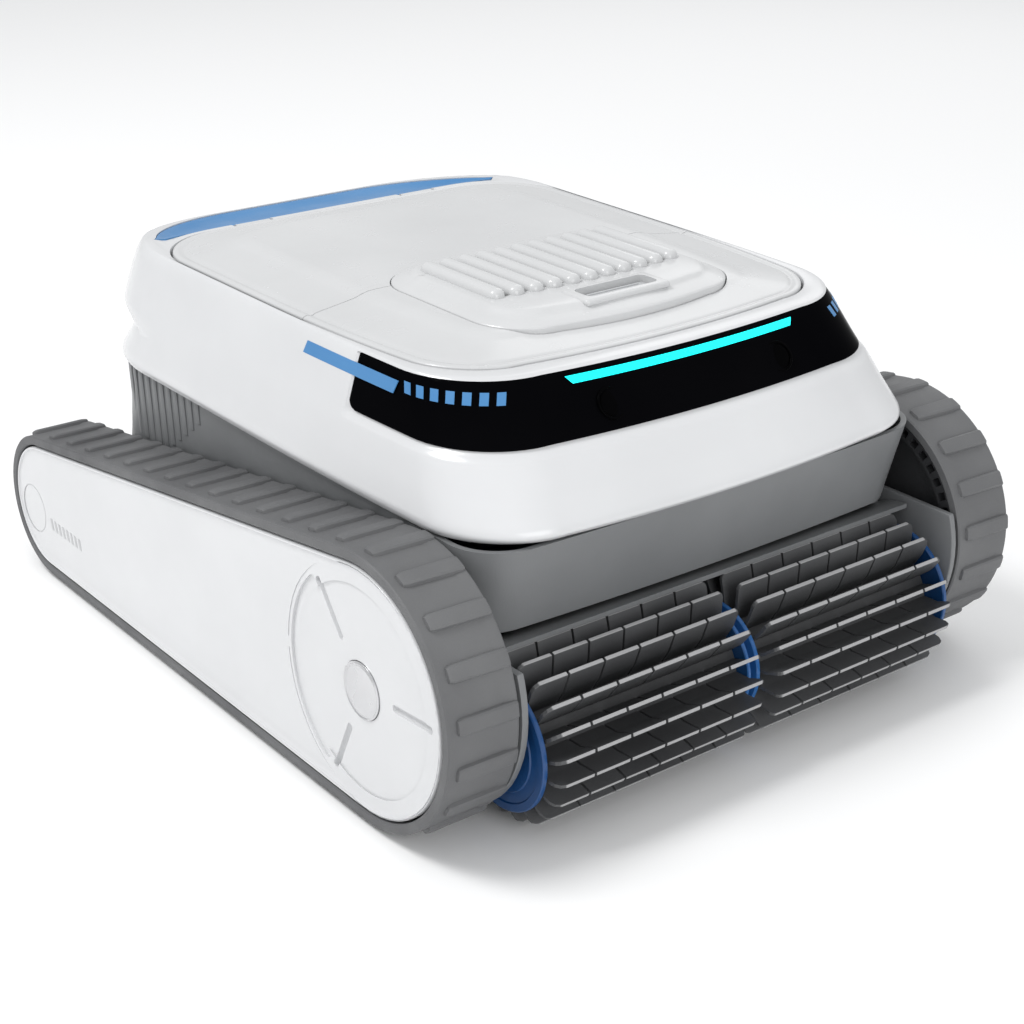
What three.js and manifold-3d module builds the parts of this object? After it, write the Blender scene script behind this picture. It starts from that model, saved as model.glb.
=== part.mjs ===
// Tracked robotic pool cleaner, modelled in millimetres.
// +Z is up, -Y is the front with the brush, X = 0 is the middle of the machine, Z = 0 is the pool floor.
import * as THREE from 'three';
import { mergeVertices } from 'three/addons/utils/BufferGeometryUtils.js';
import Module from 'manifold-3d';

const wasm = await Module();
wasm.setup();

// Overall sizes
const OVERALL_WIDTH = 400;
const HULL_LENGTH = 437.5;
const SHELL_HEIGHT = 70;
const GAP = 0.4;

// Tracks
const BELT_WIDTH = 41.5;
const BELT_THICKNESS = 5.8;
const LUG_HEIGHT = 2.6;
const LUG_COUNT = 43;
const LUG_LENGTH = 8.4;
const LUG_INSET = { low: 6, high: 2.5, slant: 3 };
const LUG_ROOT = 1;
const LUG_FIRST_ANGLE = 170.7;
const FRONT_WHEEL = { y: -161.2, radius: 68 };
const REAR_WHEEL = { radius: 40, fromRear: 20 };
const WHEEL_WIDTH = 19;
const WHEEL_SETBACK = 2;
const WHEEL_RUNNING_GAP = 0.6;
const WHEEL_SLOT = { pitch: 26, width: 8, depth: 5, rim: 5 };
const WHEEL_DISH = { rim: 14, depth: 5, boss: 5, bossHeight: 8 };
const AXLE_RADIUS = 7;
const AXLE_CLEARANCE = 0.5;
const AXLE_SOCKET = 6;
const SIDE_PANEL_THICKNESS = 14;
const SIDE_PANEL_GAP = 1.2;
const HUB_GROOVE = { radius: 60, width: 8, depth: 2.2 };
const HUB_CAP = { radius: 14, thickness: 2.8, seat: 3 };
const SPOKE_SLOT = { inner: 27, outer: 61, width: 4, angles: [53, 175, -65] };
const FRAME = { inset: 6, wheelGap: 5, hullGap: 2.2 };

// Hull
const TUB_WALL = 3.2;
const SHELL_WALL = 3;
const SKIN_LAP = 0.02;
const SHELL_CEILING = { below: 18, edge: 15 };
const INTAKE_CUT = 18;
const TUB_TRACK_GAP = 3;
const TUB_FLOOR = 22;
const SHELL_OVERHANG = 5.2;
const SHELL_TRACK_LAP = 3;
const SHELL_FRONT = -217.5;
const FRONT_BOW = 6;
const SHELL_TAPER = 0.04;
const REAR_DECK_DROP = 11;
const RIB = { count: 14, pitch: 8.5, width: 3.2, depth: 1.6, fromRear: 44, bottom: 104, margin: 3.6 };

// Lid
const LID = { rim: 24.2, front: -157, fromRear: 64, frontRadius: 40, rearRadius: 48, bow: 7, taper: 0.1 };
const LID_GAP = 1.2;
const LID_DEPTH = 6.6;
const LID_RISE = 7.2;
const LID_WALL = 3;
const LID_LIP = 14;
const LID_SEAM_Y = -22;
const HINGE = { fromLid: 3.5, drop: 2.6, radius: 2.6, length: 26, offset: 62, clearance: 1 };
const HINGE_PIN = { radius: 0.9, overhang: 6, fit: 0.3 };

// Outlet plate on the lid
const PLATE = { half: 84, front: -136, rear: -2, radius: 32, bow: 5, edge: 7.6, top: 14 };
const PLATE_SHOULDER = 13;
const OUTLET_RIB = { count: 11, pitch: 12.25, radius: 4.5, front: -98, rear: -24, rise: 0.6 };
const OUTLET_SLOT = { width: 2.4, front: -90, rear: -30 };
const LATCH = { half: 24, front: -121, rear: -109, depth: 7, height: 4.6, travel: 3, clearance: 0.5 };
const LATCH_WALL = 4;

// Blue carrying handle let into the rear deck
const HANDLE = { rim: 29.7, fromRear: 7, fromLid: 5, tip: 62, sink: 0.6, depth: 5 };
const HANDLE_RADIUS = { outer: 85, inner: 40 };

// Front
const PANEL = { fromBottom: 39, fromTop: 2.6, depth: 3, rear: -82, radius: 8 };
const LED = { half: 77, fromTop: 4, height: 3.4, depth: 1.4 };
const LENS = { x: 58.6, fromTop: 18.8, radius: 8.4, depth: 1.6 };
const SCOOP = { side: 23.5, lip: -206.7, foot: -192.5, rear: -176, fold: 11.9, wall: 3, lap: 8 };

// Brush
const BRUSH = {
  y: -202.67, radius: 46.5, tube: 24, middleGap: 5, floorGap: 2.8, bayGap: 3, scoopGap: 6.7,
};
const FIN = { count: 21, thickness: 1.8, segments: 3, slit: 1.4, root: 29, phase: 0.35, foot: 2 };
const BRUSH_SHAFT = { radius: 6, reach: 3.5, clearance: 0.4 };
const BRUSH_CORE_BORE = 20;
const BRUSH_DISC = { radius: 37.5, thickness: 3 };
const BRUSH_RING = { radius: 33, thickness: 3.2, inner: 24.6 };
const BRACKET = { inset: 2.9, thickness: 3.8, brushGap: 5.6, rear: 24, floorGap: 10 };
const BRACKET_RADIUS = 74;

// Inside
const BATTERY = { half: 92, front: 30, rear: 165, bottom: 28, top: 70, groove: 2 };
const PUMP = { y: -62, outer: 60, wall: 3, bottom: 118, lidGap: 9.5, arm: 8 };
const MOTOR = { radius: 26, bottom: 92, top: 150, collar: 5 };
const IMPELLER = { hub: 13, radius: 52, bottom: 158, height: 20, bore: 4.5 };
const BLADE = { count: 5, width: 3, height: 28, angle: 52, root: 6 };
const BASKET = { half: 106, front: 8, rear: 126, bottom: 96, lidGap: 13, wall: 2.4, corner: 14 };
const BASKET_WINDOW = { columns: [-70, -35, 0, 35, 70], rows: [42, 74, 106], half: 12, sill: 14, head: 24 };
const DRIVE_MOTOR = { radius: 15, length: 62, fromSide: 41.5, offset: 17 };
const BOARD = { half: 66, y: -140, thickness: 12, bottom: 112, top: 168, socket: 12 };
const INTAKE = { half: 64, front: -44, rear: -14 };
const FLAP = { thickness: 2.4, barrel: 2.2, clearance: 1 };
const BUTTON = { x: 34, fromTop: 25, radius: 9, length: 6, inset: 0.4 };
const CAP = { x: -34, fromTop: 25, width: 30, height: 20, thickness: 3, barrel: 1.7, inset: 0.3 };
const CAP_ROOM = 1.2;

// Places that follow from the sizes above
const SIDE = OVERALL_WIDTH / 2;
const BELT_INNER_X = SIDE - BELT_WIDTH;
const BELT_OUT = WHEEL_RUNNING_GAP + BELT_THICKNESS;
const SHELL_REAR = SHELL_FRONT + HULL_LENGTH;
REAR_WHEEL.y = SHELL_REAR - REAR_WHEEL.fromRear;
FRONT_WHEEL.z = FRONT_WHEEL.radius + BELT_OUT + LUG_HEIGHT;
REAR_WHEEL.z = REAR_WHEEL.radius + BELT_OUT + LUG_HEIGHT;
const WHEEL_INNER_X = BELT_INNER_X + WHEEL_SETBACK;
const PANEL_INNER_X = SIDE - SIDE_PANEL_THICKNESS;
const TUB_HALF_WIDTH = BELT_INNER_X - TUB_TRACK_GAP;
DRIVE_MOTOR.outer = TUB_HALF_WIDTH - DRIVE_MOTOR.fromSide;
const SHELL_HALF_WIDTH = BELT_INNER_X + SHELL_OVERHANG;
const SHELL_BOTTOM = 2 * FRONT_WHEEL.z - SHELL_TRACK_LAP;
const SHELL_TOP = SHELL_BOTTOM + SHELL_HEIGHT;
const TUB_TOP = SHELL_BOTTOM - GAP;
LID.half = SHELL_HALF_WIDTH - LID.rim;
LID.rear = SHELL_REAR - LID.fromRear;
const LID_BOTTOM = SHELL_TOP - LID_DEPTH;
const LID_RIM_TOP = SHELL_TOP + GAP;
const LID_DECK = SHELL_TOP + LID_RISE;
HINGE.y = LID.rear + HINGE.fromLid;
HINGE.z = SHELL_TOP - HINGE.drop;
const PLATE_EDGE_Z = SHELL_TOP + PLATE.edge;
const PLATE_TOP_Z = SHELL_TOP + PLATE.top;
const LATCH_FLOOR_Z = PLATE_TOP_Z - LATCH.depth;
BRUSH.z = BRUSH.radius + BRUSH.floorGap;
const BAY_RADIUS = BRUSH.radius + BRUSH.bayGap;
BRACKET.inner = TUB_HALF_WIDTH - BRACKET.inset;
BRUSH.half = BRACKET.inner - BRACKET.brushGap;
SCOOP.half = TUB_HALF_WIDTH - SCOOP.side;
SCOOP.bottom = BRUSH.z + BRUSH.radius + BRUSH.scoopGap;
SCOOP.top = TUB_TOP - RIB.margin;
PUMP.top = SHELL_TOP - PUMP.lidGap;
BASKET.top = SHELL_TOP - BASKET.lidGap;
LENS.z = SHELL_TOP - LENS.fromTop;
BUTTON.z = SHELL_TOP - BUTTON.fromTop;
CAP.z = SHELL_TOP - CAP.fromTop;

// Finishes
function finish(color, roughness, metalness = 0) {
  return () => new THREE.MeshStandardMaterial({ color, roughness, metalness });
}

const WHITE = finish(0xe9eaeb, 0.25);
const GREY = finish(0x6f7274, 0.5);
const DARK = finish(0x4a4c4e, 0.75);
const BELT_GREY = finish(0x55585a, 0.8);
const BLUE = finish(0x4b8bc9, 0.4);
const DEEP_BLUE = finish(0x1d5288, 0.35);
const BLACK = finish(0x08090a, 0.12);
const CYAN = finish(0x00f0f0, 0.3);
const METAL = finish(0xb9bbbe, 0.3, 0.9);
const INNER_GREY = finish(0x8a8d90, 0.6);

const deg = (angle) => angle * Math.PI / 180;

// A closed geometry becomes a solid that can be joined and cut.
function solid(geometry) {
  const bare = geometry.clone();
  bare.deleteAttribute('normal');
  bare.deleteAttribute('uv');
  const merged = mergeVertices(bare, 1e-4);
  const vertProperties = Float32Array.from(merged.attributes.position.array);
  const triVerts = Uint32Array.from(merged.index.array);
  return new wasm.Manifold(new wasm.Mesh({ numProp: 3, vertProperties, triVerts }));
}

function node(name, body, material) {
  const data = body.getMesh();
  const geometry = new THREE.BufferGeometry();
  const positions = new Float32Array(data.numVert * 3);
  for (let i = 0; i < data.numVert; i += 1) {
    for (let k = 0; k < 3; k += 1) positions[i * 3 + k] = data.vertProperties[i * data.numProp + k];
  }
  geometry.setAttribute('position', new THREE.BufferAttribute(positions, 3));
  geometry.setIndex(new THREE.BufferAttribute(data.triVerts, 1));
  geometry.computeVertexNormals();
  const mesh = new THREE.Mesh(geometry, material());
  mesh.name = name;
  return mesh;
}

const join = (bodies) => bodies.reduce((all, body) => all.add(body));
const cut = (body, cutters) => cutters.reduce((left, cutter) => left.subtract(cutter), body);

function box(x0, x1, y0, y1, z0, z1) {
  const geometry = new THREE.BoxGeometry(x1 - x0, y1 - y0, z1 - z0);
  geometry.translate((x0 + x1) / 2, (y0 + y1) / 2, (z0 + z1) / 2);
  return solid(geometry);
}

function cylinderX(radius, x0, x1, y, z, segments = 32) {
  const geometry = new THREE.CylinderGeometry(radius, radius, x1 - x0, segments);
  geometry.rotateZ(Math.PI / 2);
  geometry.translate((x0 + x1) / 2, y, z);
  return solid(geometry);
}

function cylinderY(radius, y0, y1, x, z, segments = 32) {
  const geometry = new THREE.CylinderGeometry(radius, radius, y1 - y0, segments);
  geometry.translate(x, (y0 + y1) / 2, z);
  return solid(geometry);
}

function cylinderZ(radius, z0, z1, x, y, segments = 32) {
  const geometry = new THREE.CylinderGeometry(radius, radius, z1 - z0, segments);
  geometry.rotateX(Math.PI / 2);
  geometry.translate(x, y, (z0 + z1) / 2);
  return solid(geometry);
}

// A side outline, given as (y, z), run across the machine from x0 to x1.
function prismX(shape, x0, x1, curveSegments = 12) {
  const geometry = new THREE.ExtrudeGeometry(shape, { depth: x1 - x0, bevelEnabled: false, curveSegments });
  const turn = new THREE.Matrix4();
  turn.makeBasis(new THREE.Vector3(0, 1, 0), new THREE.Vector3(0, 0, 1), new THREE.Vector3(1, 0, 0));
  geometry.applyMatrix4(turn);
  geometry.translate(x0, 0, 0);
  return solid(geometry);
}

function prismZ(points, z0, z1) {
  const shape = new THREE.Shape(points);
  const geometry = new THREE.ExtrudeGeometry(shape, { depth: z1 - z0, bevelEnabled: false });
  geometry.translate(0, 0, z0);
  return solid(geometry);
}

const mirrored = (body) => body.mirror([1, 0, 0]);

// Plan outline: a rounded rectangle with a bowed front edge and sides that close in towards the front.
function planOutline({ half, front, rear, frontRadius, rearRadius, bow = 0, taper = 0 }) {
  const frontSteps = 6;
  const cornerSteps = 4;
  const points = [];
  const run = half - frontRadius;
  for (let i = 1; i < frontSteps; i += 1) {
    const x = -run + 2 * run * i / frontSteps;
    points.push(new THREE.Vector2(x, front + bow * (x / run) ** 2));
  }
  const corner = (cx, cy, radius, start) => {
    for (let i = 0; i <= cornerSteps; i += 1) {
      const angle = deg(start + 90 * i / cornerSteps);
      points.push(new THREE.Vector2(cx + radius * Math.cos(angle), cy + radius * Math.sin(angle)));
    }
  };
  corner(half - frontRadius, front + bow + frontRadius, frontRadius, -90);
  corner(half - rearRadius, rear - rearRadius, rearRadius, 0);
  corner(-half + rearRadius, rear - rearRadius, rearRadius, 90);
  corner(-half + frontRadius, front + bow + frontRadius, frontRadius, 180);
  const depth = Math.min(front, -1);
  return points.map((p) => new THREE.Vector2(p.x * (1 - taper * Math.max(0, p.y / depth) ** 2), p.y));
}

// A closed body through plan outlines at rising heights, capped flat at both ends.
function loft(levels) {
  const rings = levels.map((level) => planOutline(level));
  const count = rings[0].length;
  const positions = rings.flatMap((ring, k) => ring.flatMap((p) => [p.x, p.y, levels[k].z]));
  const index = [];
  for (let k = 0; k + 1 < rings.length; k += 1) {
    for (let i = 0; i < count; i += 1) {
      const a = k * count + i;
      const b = k * count + (i + 1) % count;
      index.push(a, b, b + count, a, b + count, a + count);
    }
  }
  const last = (rings.length - 1) * count;
  const floor = THREE.ShapeUtils.triangulateShape(rings[0], []);
  const roof = THREE.ShapeUtils.triangulateShape(rings.at(-1), []);
  for (const [a, b, c] of floor) index.push(a, c, b);
  for (const [a, b, c] of roof) index.push(last + a, last + b, last + c);
  const geometry = new THREE.BufferGeometry();
  geometry.setAttribute('position', new THREE.Float32BufferAttribute(positions, 3));
  geometry.setIndex(index);
  return solid(geometry);
}

// Levels of the white shell, from its lower edge over a waist to its rim: rise above the lower edge,
// then how far the side, front and rear stand in, and the radius of the rear corners.
const SHELL_PROFILE = [
  { rise: 0, side: 2, front: 5, rear: 20, corner: 72 },
  { rise: 5.5, side: 0, front: 0, rear: 15, corner: 75 },
  { rise: 18, side: 3.7, front: 10, rear: 23, corner: 75 },
  { rise: 24, side: 5.4, front: 14, rear: 23, corner: 78 },
  { rise: 34, side: 8.2, front: 20.5, rear: 0, corner: 84 },
  { rise: 41, side: 11, front: 26.6, rear: -0.5, corner: 85 },
  { rise: 54, side: 14.7, front: 35, rear: 1, corner: 85 },
  { rise: 65, side: 17.9, front: 42.6, rear: 4.6, corner: 85 },
  { rise: SHELL_HEIGHT, side: 20.2, front: 48, rear: 12, corner: 85 },
];
const SHELL_FRONT_CORNER = 50;

const shellLevels = (inset = 0) => SHELL_PROFILE.map((level) => ({
  z: SHELL_BOTTOM + level.rise,
  half: SHELL_HALF_WIDTH - level.side - inset,
  front: SHELL_FRONT + level.front + inset,
  rear: SHELL_REAR - level.rear - inset,
  frontRadius: SHELL_FRONT_CORNER - inset,
  rearRadius: level.corner - inset,
  bow: FRONT_BOW,
  taper: SHELL_TAPER,
}));

// A skin on the outside of the shell, as thick as given. A cutter reaches a little further out.
function shellSkin(depth, reach = 0) {
  const inside = shellLevels(depth);
  inside[0].z -= 1;
  inside[inside.length - 1].z += 1;
  return loft(shellLevels(-SKIN_LAP - reach)).subtract(loft(inside));
}

// Levels of the grey tub under it, from its floor to its rim.
const tubLevels = (inset = 0) => [
  { z: TUB_FLOOR, side: 16, front: 31.5, rear: 30 },
  { z: TUB_FLOOR + 8, side: 4, front: 27.5, rear: 14 },
  { z: TUB_FLOOR + 50, side: 1, front: 25.5, rear: 10 },
  { z: SCOOP.bottom - 10, side: 0, front: 23.5, rear: 14 },
  { z: SCOOP.bottom, side: 0, front: 20.5, rear: 16.2 },
  { z: TUB_TOP, side: -1.5, front: 8.5, rear: 26 },
].map((level) => ({
  z: level.z,
  half: TUB_HALF_WIDTH - level.side - inset,
  front: SHELL_FRONT + level.front + inset,
  rear: SHELL_REAR - level.rear - inset,
  frontRadius: 30,
  rearRadius: 60,
  bow: 3,
}));

// Side outline of a track: two circles and their outer tangents.
function trackOutline(offset) {
  const front = { y: FRONT_WHEEL.y, z: FRONT_WHEEL.z, r: FRONT_WHEEL.radius + offset };
  const rear = { y: REAR_WHEEL.y, z: REAR_WHEEL.z, r: REAR_WHEEL.radius + offset };
  const run = Math.hypot(rear.y - front.y, rear.z - front.z);
  const slope = Math.atan2(rear.z - front.z, rear.y - front.y);
  const lean = Math.acos((front.r - rear.r) / run);
  const shape = new THREE.Shape();
  shape.absarc(front.y, front.z, front.r, slope + lean, slope - lean + 2 * Math.PI, false);
  shape.absarc(rear.y, rear.z, rear.r, slope - lean, slope + lean, false);
  shape.closePath();
  return shape;
}

const trackPrism = (offset, x0, x1) => prismX(trackOutline(offset), x0, x1, 10);

function chassisTub() {
  const hollow = tubLevels(TUB_WALL);
  hollow[0] = { ...hollow[0], z: TUB_FLOOR + TUB_WALL };
  hollow[hollow.length - 1] = { ...hollow.at(-1), z: TUB_TOP + 1 };
  const bayRear = BRUSH.y + BAY_RADIUS;
  const bayWall = join([
    cylinderX(BAY_RADIUS + TUB_WALL, -SIDE, SIDE, BRUSH.y, BRUSH.z, 32),
    box(-SIDE, SIDE, SHELL_FRONT, bayRear + TUB_WALL, 0, BRUSH.z),
    box(-SIDE, SIDE, SHELL_FRONT, BRUSH.y, 0, SCOOP.bottom + TUB_WALL),
  ]);
  const bay = join([
    cylinderX(BAY_RADIUS, -SIDE, SIDE, BRUSH.y, BRUSH.z, 32),
    box(-SIDE, SIDE, SHELL_FRONT - 50, bayRear, -1, BRUSH.z),
    box(-SIDE, SIDE, SHELL_FRONT - 50, BRUSH.y, -1, SCOOP.bottom - GAP),
  ]);
  const shellOfTub = loft(tubLevels()).subtract(loft(hollow));
  const walled = shellOfTub.add(bayWall.intersect(loft(tubLevels())));
  const axles = cylinderX(AXLE_RADIUS + AXLE_CLEARANCE, -SIDE, SIDE, REAR_WHEEL.y, REAR_WHEEL.z, 24);
  const roomRear = FRONT_WHEEL.y + BRACKET.rear + GAP;
  const room = box(BRACKET.inner - GAP, SIDE, SHELL_FRONT, roomRear, 0, SCOOP.bottom - GAP);
  const intake = box(-INTAKE.half, INTAKE.half, INTAKE.front, INTAKE.rear, 0, TUB_FLOOR + INTAKE_CUT);
  const ribs = [];
  for (let i = 0; i < RIB.count; i += 1) {
    const y = SHELL_REAR - RIB.fromRear - i * RIB.pitch;
    const depth = RIB.depth * (1 - i / RIB.count);
    const groove = box(TUB_HALF_WIDTH - depth, SIDE, y, y + RIB.width, RIB.bottom, TUB_TOP - RIB.margin);
    ribs.push(groove, mirrored(groove));
  }
  return cut(walled, [bay, scoopBody(GAP), axles, intake, room, mirrored(room), ...ribs]);
}

// Grey scoop above the brush: an angled lip over a lower apron. Grown, it is the room cut for it.
function scoopBody(grow = 0) {
  const lap = grow > 0 ? SCOOP.lap : 0;
  const shape = new THREE.Shape();
  shape.moveTo(SCOOP.lip - lap, SCOOP.top + grow);
  shape.lineTo(SCOOP.foot - SCOOP.wall - lap, SCOOP.bottom + SCOOP.fold);
  shape.lineTo(SCOOP.foot - lap, SCOOP.bottom - grow);
  shape.lineTo(SCOOP.rear + grow, SCOOP.bottom - grow);
  shape.lineTo(SCOOP.rear + grow, SCOOP.top + grow);
  shape.closePath();
  return prismX(shape, -SCOOP.half - grow, SCOOP.half + grow);
}

function frontScoop() {
  const shape = new THREE.Shape();
  shape.moveTo(SCOOP.lip + SCOOP.wall + 1, SCOOP.top + 1);
  shape.lineTo(SCOOP.foot + 1, SCOOP.bottom + SCOOP.fold);
  shape.lineTo(SCOOP.foot + SCOOP.wall + 1, SCOOP.bottom + SCOOP.wall);
  shape.lineTo(SCOOP.rear - SCOOP.wall, SCOOP.bottom + SCOOP.wall);
  shape.lineTo(SCOOP.rear - SCOOP.wall, SCOOP.top + 1);
  shape.closePath();
  return scoopBody().subtract(prismX(shape, -SCOOP.half + SCOOP.wall, SCOOP.half - SCOOP.wall));
}

// Everything above the sloping rear deck behind the lid.
function aboveRearDeck(offset = 0) {
  const start = LID.rear + 3;
  const end = SHELL_REAR + 20;
  const shape = new THREE.Shape();
  shape.moveTo(start, SHELL_TOP + offset);
  shape.lineTo(end, SHELL_TOP - REAR_DECK_DROP + offset);
  shape.lineTo(end, SHELL_TOP + 40);
  shape.lineTo(start, SHELL_TOP + 40);
  shape.closePath();
  return prismX(shape, -SIDE, SIDE);
}

// Crescent between the rear of the shell and the rear of the lid, in plan.
function crescent(clearance = 0) {
  const bottom = SHELL_TOP - 30;
  const top = SHELL_TOP + 5;
  const outside = planOutline({
    half: SHELL_HALF_WIDTH - HANDLE.rim + clearance,
    front: 0,
    rear: SHELL_REAR - HANDLE.fromRear + clearance,
    frontRadius: 20,
    rearRadius: HANDLE_RADIUS.outer,
  });
  const inside = planOutline({
    half: LID.half + LID_GAP + 3,
    front: 0,
    rear: LID.rear + LID_GAP + HANDLE.fromLid - clearance,
    frontRadius: 20,
    rearRadius: HANDLE_RADIUS.inner,
  });
  const band = prismZ(outside, bottom, top).subtract(prismZ(inside, bottom - 1, top + 1));
  const deck = aboveRearDeck(-HANDLE.sink - HANDLE.depth - clearance);
  const tip = SHELL_REAR - HANDLE.tip - clearance;
  return band.intersect(deck).intersect(box(-SIDE, SIDE, tip, SHELL_REAR + 30, bottom, top));
}

const rearHandle = () => crescent().subtract(aboveRearDeck(-HANDLE.sink));

function hingeNotches() {
  const room = HINGE.radius + HINGE.clearance;
  return [-1, 1].map((side) => box(
    side * HINGE.offset - HINGE.length / 2 - HINGE.clearance,
    side * HINGE.offset + HINGE.length / 2 + HINGE.clearance,
    LID.rear - 4, HINGE.y + room, LID_BOTTOM - GAP, SHELL_TOP + 5));
}

function upperShell() {
  const inner = shellLevels(SHELL_WALL);
  const last = inner.length - 1;
  inner[0].z -= 1;
  inner[last - 1].z = SHELL_TOP - SHELL_CEILING.below;
  inner[last].z = SHELL_TOP - SHELL_CEILING.edge;
  inner[last - 2].z -= 1;
  const opening = {
    ...LID, half: LID.half - LID_LIP, front: LID.front + LID_LIP, rear: LID.rear - LID_LIP,
  };
  const recess = { ...LID, half: LID.half + LID_GAP, front: LID.front - LID_GAP, rear: LID.rear + LID_GAP };
  return cut(loft(shellLevels()), [
    loft(inner),
    prismZ(planOutline(opening), SHELL_BOTTOM, SHELL_TOP + 1),
    prismZ(planOutline(recess), LID_BOTTOM - GAP, SHELL_TOP + 1),
    aboveRearDeck(),
    crescent(GAP),
    ...hingeNotches(),
    ...[-1, 1].map((side) => hingePin(side, HINGE_PIN.fit)),
    panelBody(PANEL.depth + GAP, GAP),
    cylinderY(BUTTON.radius + GAP, SHELL_REAR - 2 * BUTTON.length, SHELL_REAR + 5, BUTTON.x, BUTTON.z, 32),
    capPocket(),
  ]);
}

// The part of the shell's skin that the front panel covers, as thick as given.
function panelBody(depth, grow = 0) {
  const side = new THREE.Shape();
  const front = SHELL_FRONT - 10;
  const bottom = SHELL_BOTTOM + PANEL.fromBottom - grow;
  const top = SHELL_TOP - PANEL.fromTop + grow;
  const rear = PANEL.rear + grow;
  side.moveTo(front, bottom);
  side.lineTo(rear - PANEL.radius, bottom);
  side.absarc(rear - PANEL.radius, bottom + PANEL.radius, PANEL.radius, -Math.PI / 2, 0, false);
  side.lineTo(rear, top);
  side.lineTo(front, top);
  side.closePath();
  return shellSkin(depth).intersect(prismX(side, -SIDE, SIDE, 6));
}

function ledBody(grow = 0) {
  const top = SHELL_TOP - LED.fromTop;
  const half = LED.half + grow;
  const bar = box(-half, half, SHELL_FRONT, LID.front, top - LED.height - grow, top + grow);
  return shellSkin(LED.depth + grow, grow).intersect(bar);
}

function lensBody(side, grow = 0) {
  const rod = cylinderY(LENS.radius + grow, SHELL_FRONT, LID.front, side * LENS.x, LENS.z, 28);
  return shellSkin(LENS.depth + grow, grow).intersect(rod);
}

function frontPanel() {
  return cut(panelBody(PANEL.depth), [ledBody(GAP), lensBody(-1, GAP), lensBody(1, GAP)]);
}

function capPocket() {
  const half = CAP.width / 2 + GAP;
  const low = CAP.z - CAP.height / 2 - GAP;
  const high = CAP.z + CAP.height / 2 + CAP.barrel + 2;
  return box(CAP.x - half, CAP.x + half, SHELL_REAR - CAP.thickness - CAP_ROOM, SHELL_REAR + 8, low, high);
}

// Lid levels from the underside of its rim over the shoulder to the flat deck.
function lidLevels(inset = 0) {
  const at = (z, draw) => ({
    ...LID,
    z,
    half: LID.half - draw,
    front: LID.front + draw * 0.75,
    rear: LID.rear - draw * 0.8,
    frontRadius: Math.max(LID.frontRadius - draw * 0.2, 8),
  });
  return [
    at(LID_BOTTOM, 0 + inset),
    at(LID_RIM_TOP - 1.4, 0 + inset),
    at(LID_RIM_TOP, 1.4 + inset),
    at(LID_RIM_TOP + 2, 12 + inset),
    at(LID_RIM_TOP + 5, 24 + inset),
    at(LID_DECK, 40 + inset),
  ];
}

function lidBody() {
  const hollow = lidLevels(LID_WALL).map((level) => ({ ...level, z: level.z - LID_WALL }));
  const body = loft(lidLevels()).subtract(loft(hollow));
  const pocket = prismZ(planOutline(plateLevel(-GAP)), SHELL_TOP - GAP, LID_DECK + 5);
  const support = prismZ(planOutline(plateLevel(5)), LID_BOTTOM - 5, LID_DECK + 5);
  const tray = prismZ(planOutline(plateLevel(-LID_WALL - GAP)), SHELL_TOP - LID_WALL - GAP, SHELL_TOP + 5);
  return cut(body.add(tray.intersect(loft(lidLevels()))), [pocket, support]);
}

function hingeArm(side) {
  const x0 = side * HINGE.offset - HINGE.length / 2;
  const x1 = side * HINGE.offset + HINGE.length / 2;
  const arm = box(x0, x1, LID.rear - 6, HINGE.y, LID_BOTTOM + 1.6, HINGE.z);
  return join([cylinderX(HINGE.radius, x0, x1, HINGE.y, HINGE.z, 20), arm]);
}

function lidRear() {
  const behind = box(-SIDE, SIDE, LID_SEAM_Y + GAP / 2, SHELL_REAR, SHELL_BOTTOM, LID_DECK + 5);
  const body = join([lidBody().intersect(behind), hingeArm(-1), hingeArm(1)]);
  return cut(body, [hingePin(-1, HINGE_PIN.fit), hingePin(1, HINGE_PIN.fit)]);
}

function lidFront() {
  const before = box(-SIDE, SIDE, SHELL_FRONT, LID_SEAM_Y - GAP / 2, SHELL_BOTTOM, LID_DECK + 5);
  return lidBody().intersect(before);
}

function hingePin(side, grow = 0) {
  const reach = HINGE.length / 2 + HINGE_PIN.overhang + grow;
  const x = side * HINGE.offset;
  return cylinderX(HINGE_PIN.radius + grow, x - reach, x + reach, HINGE.y, HINGE.z, 16);
}

function plateLevel(inset) {
  return {
    half: PLATE.half - inset,
    front: PLATE.front + inset,
    rear: PLATE.rear - inset,
    frontRadius: Math.max(PLATE.radius - inset, 6),
    rearRadius: Math.max(PLATE.radius - inset, 6),
    bow: PLATE.bow,
  };
}

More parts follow.
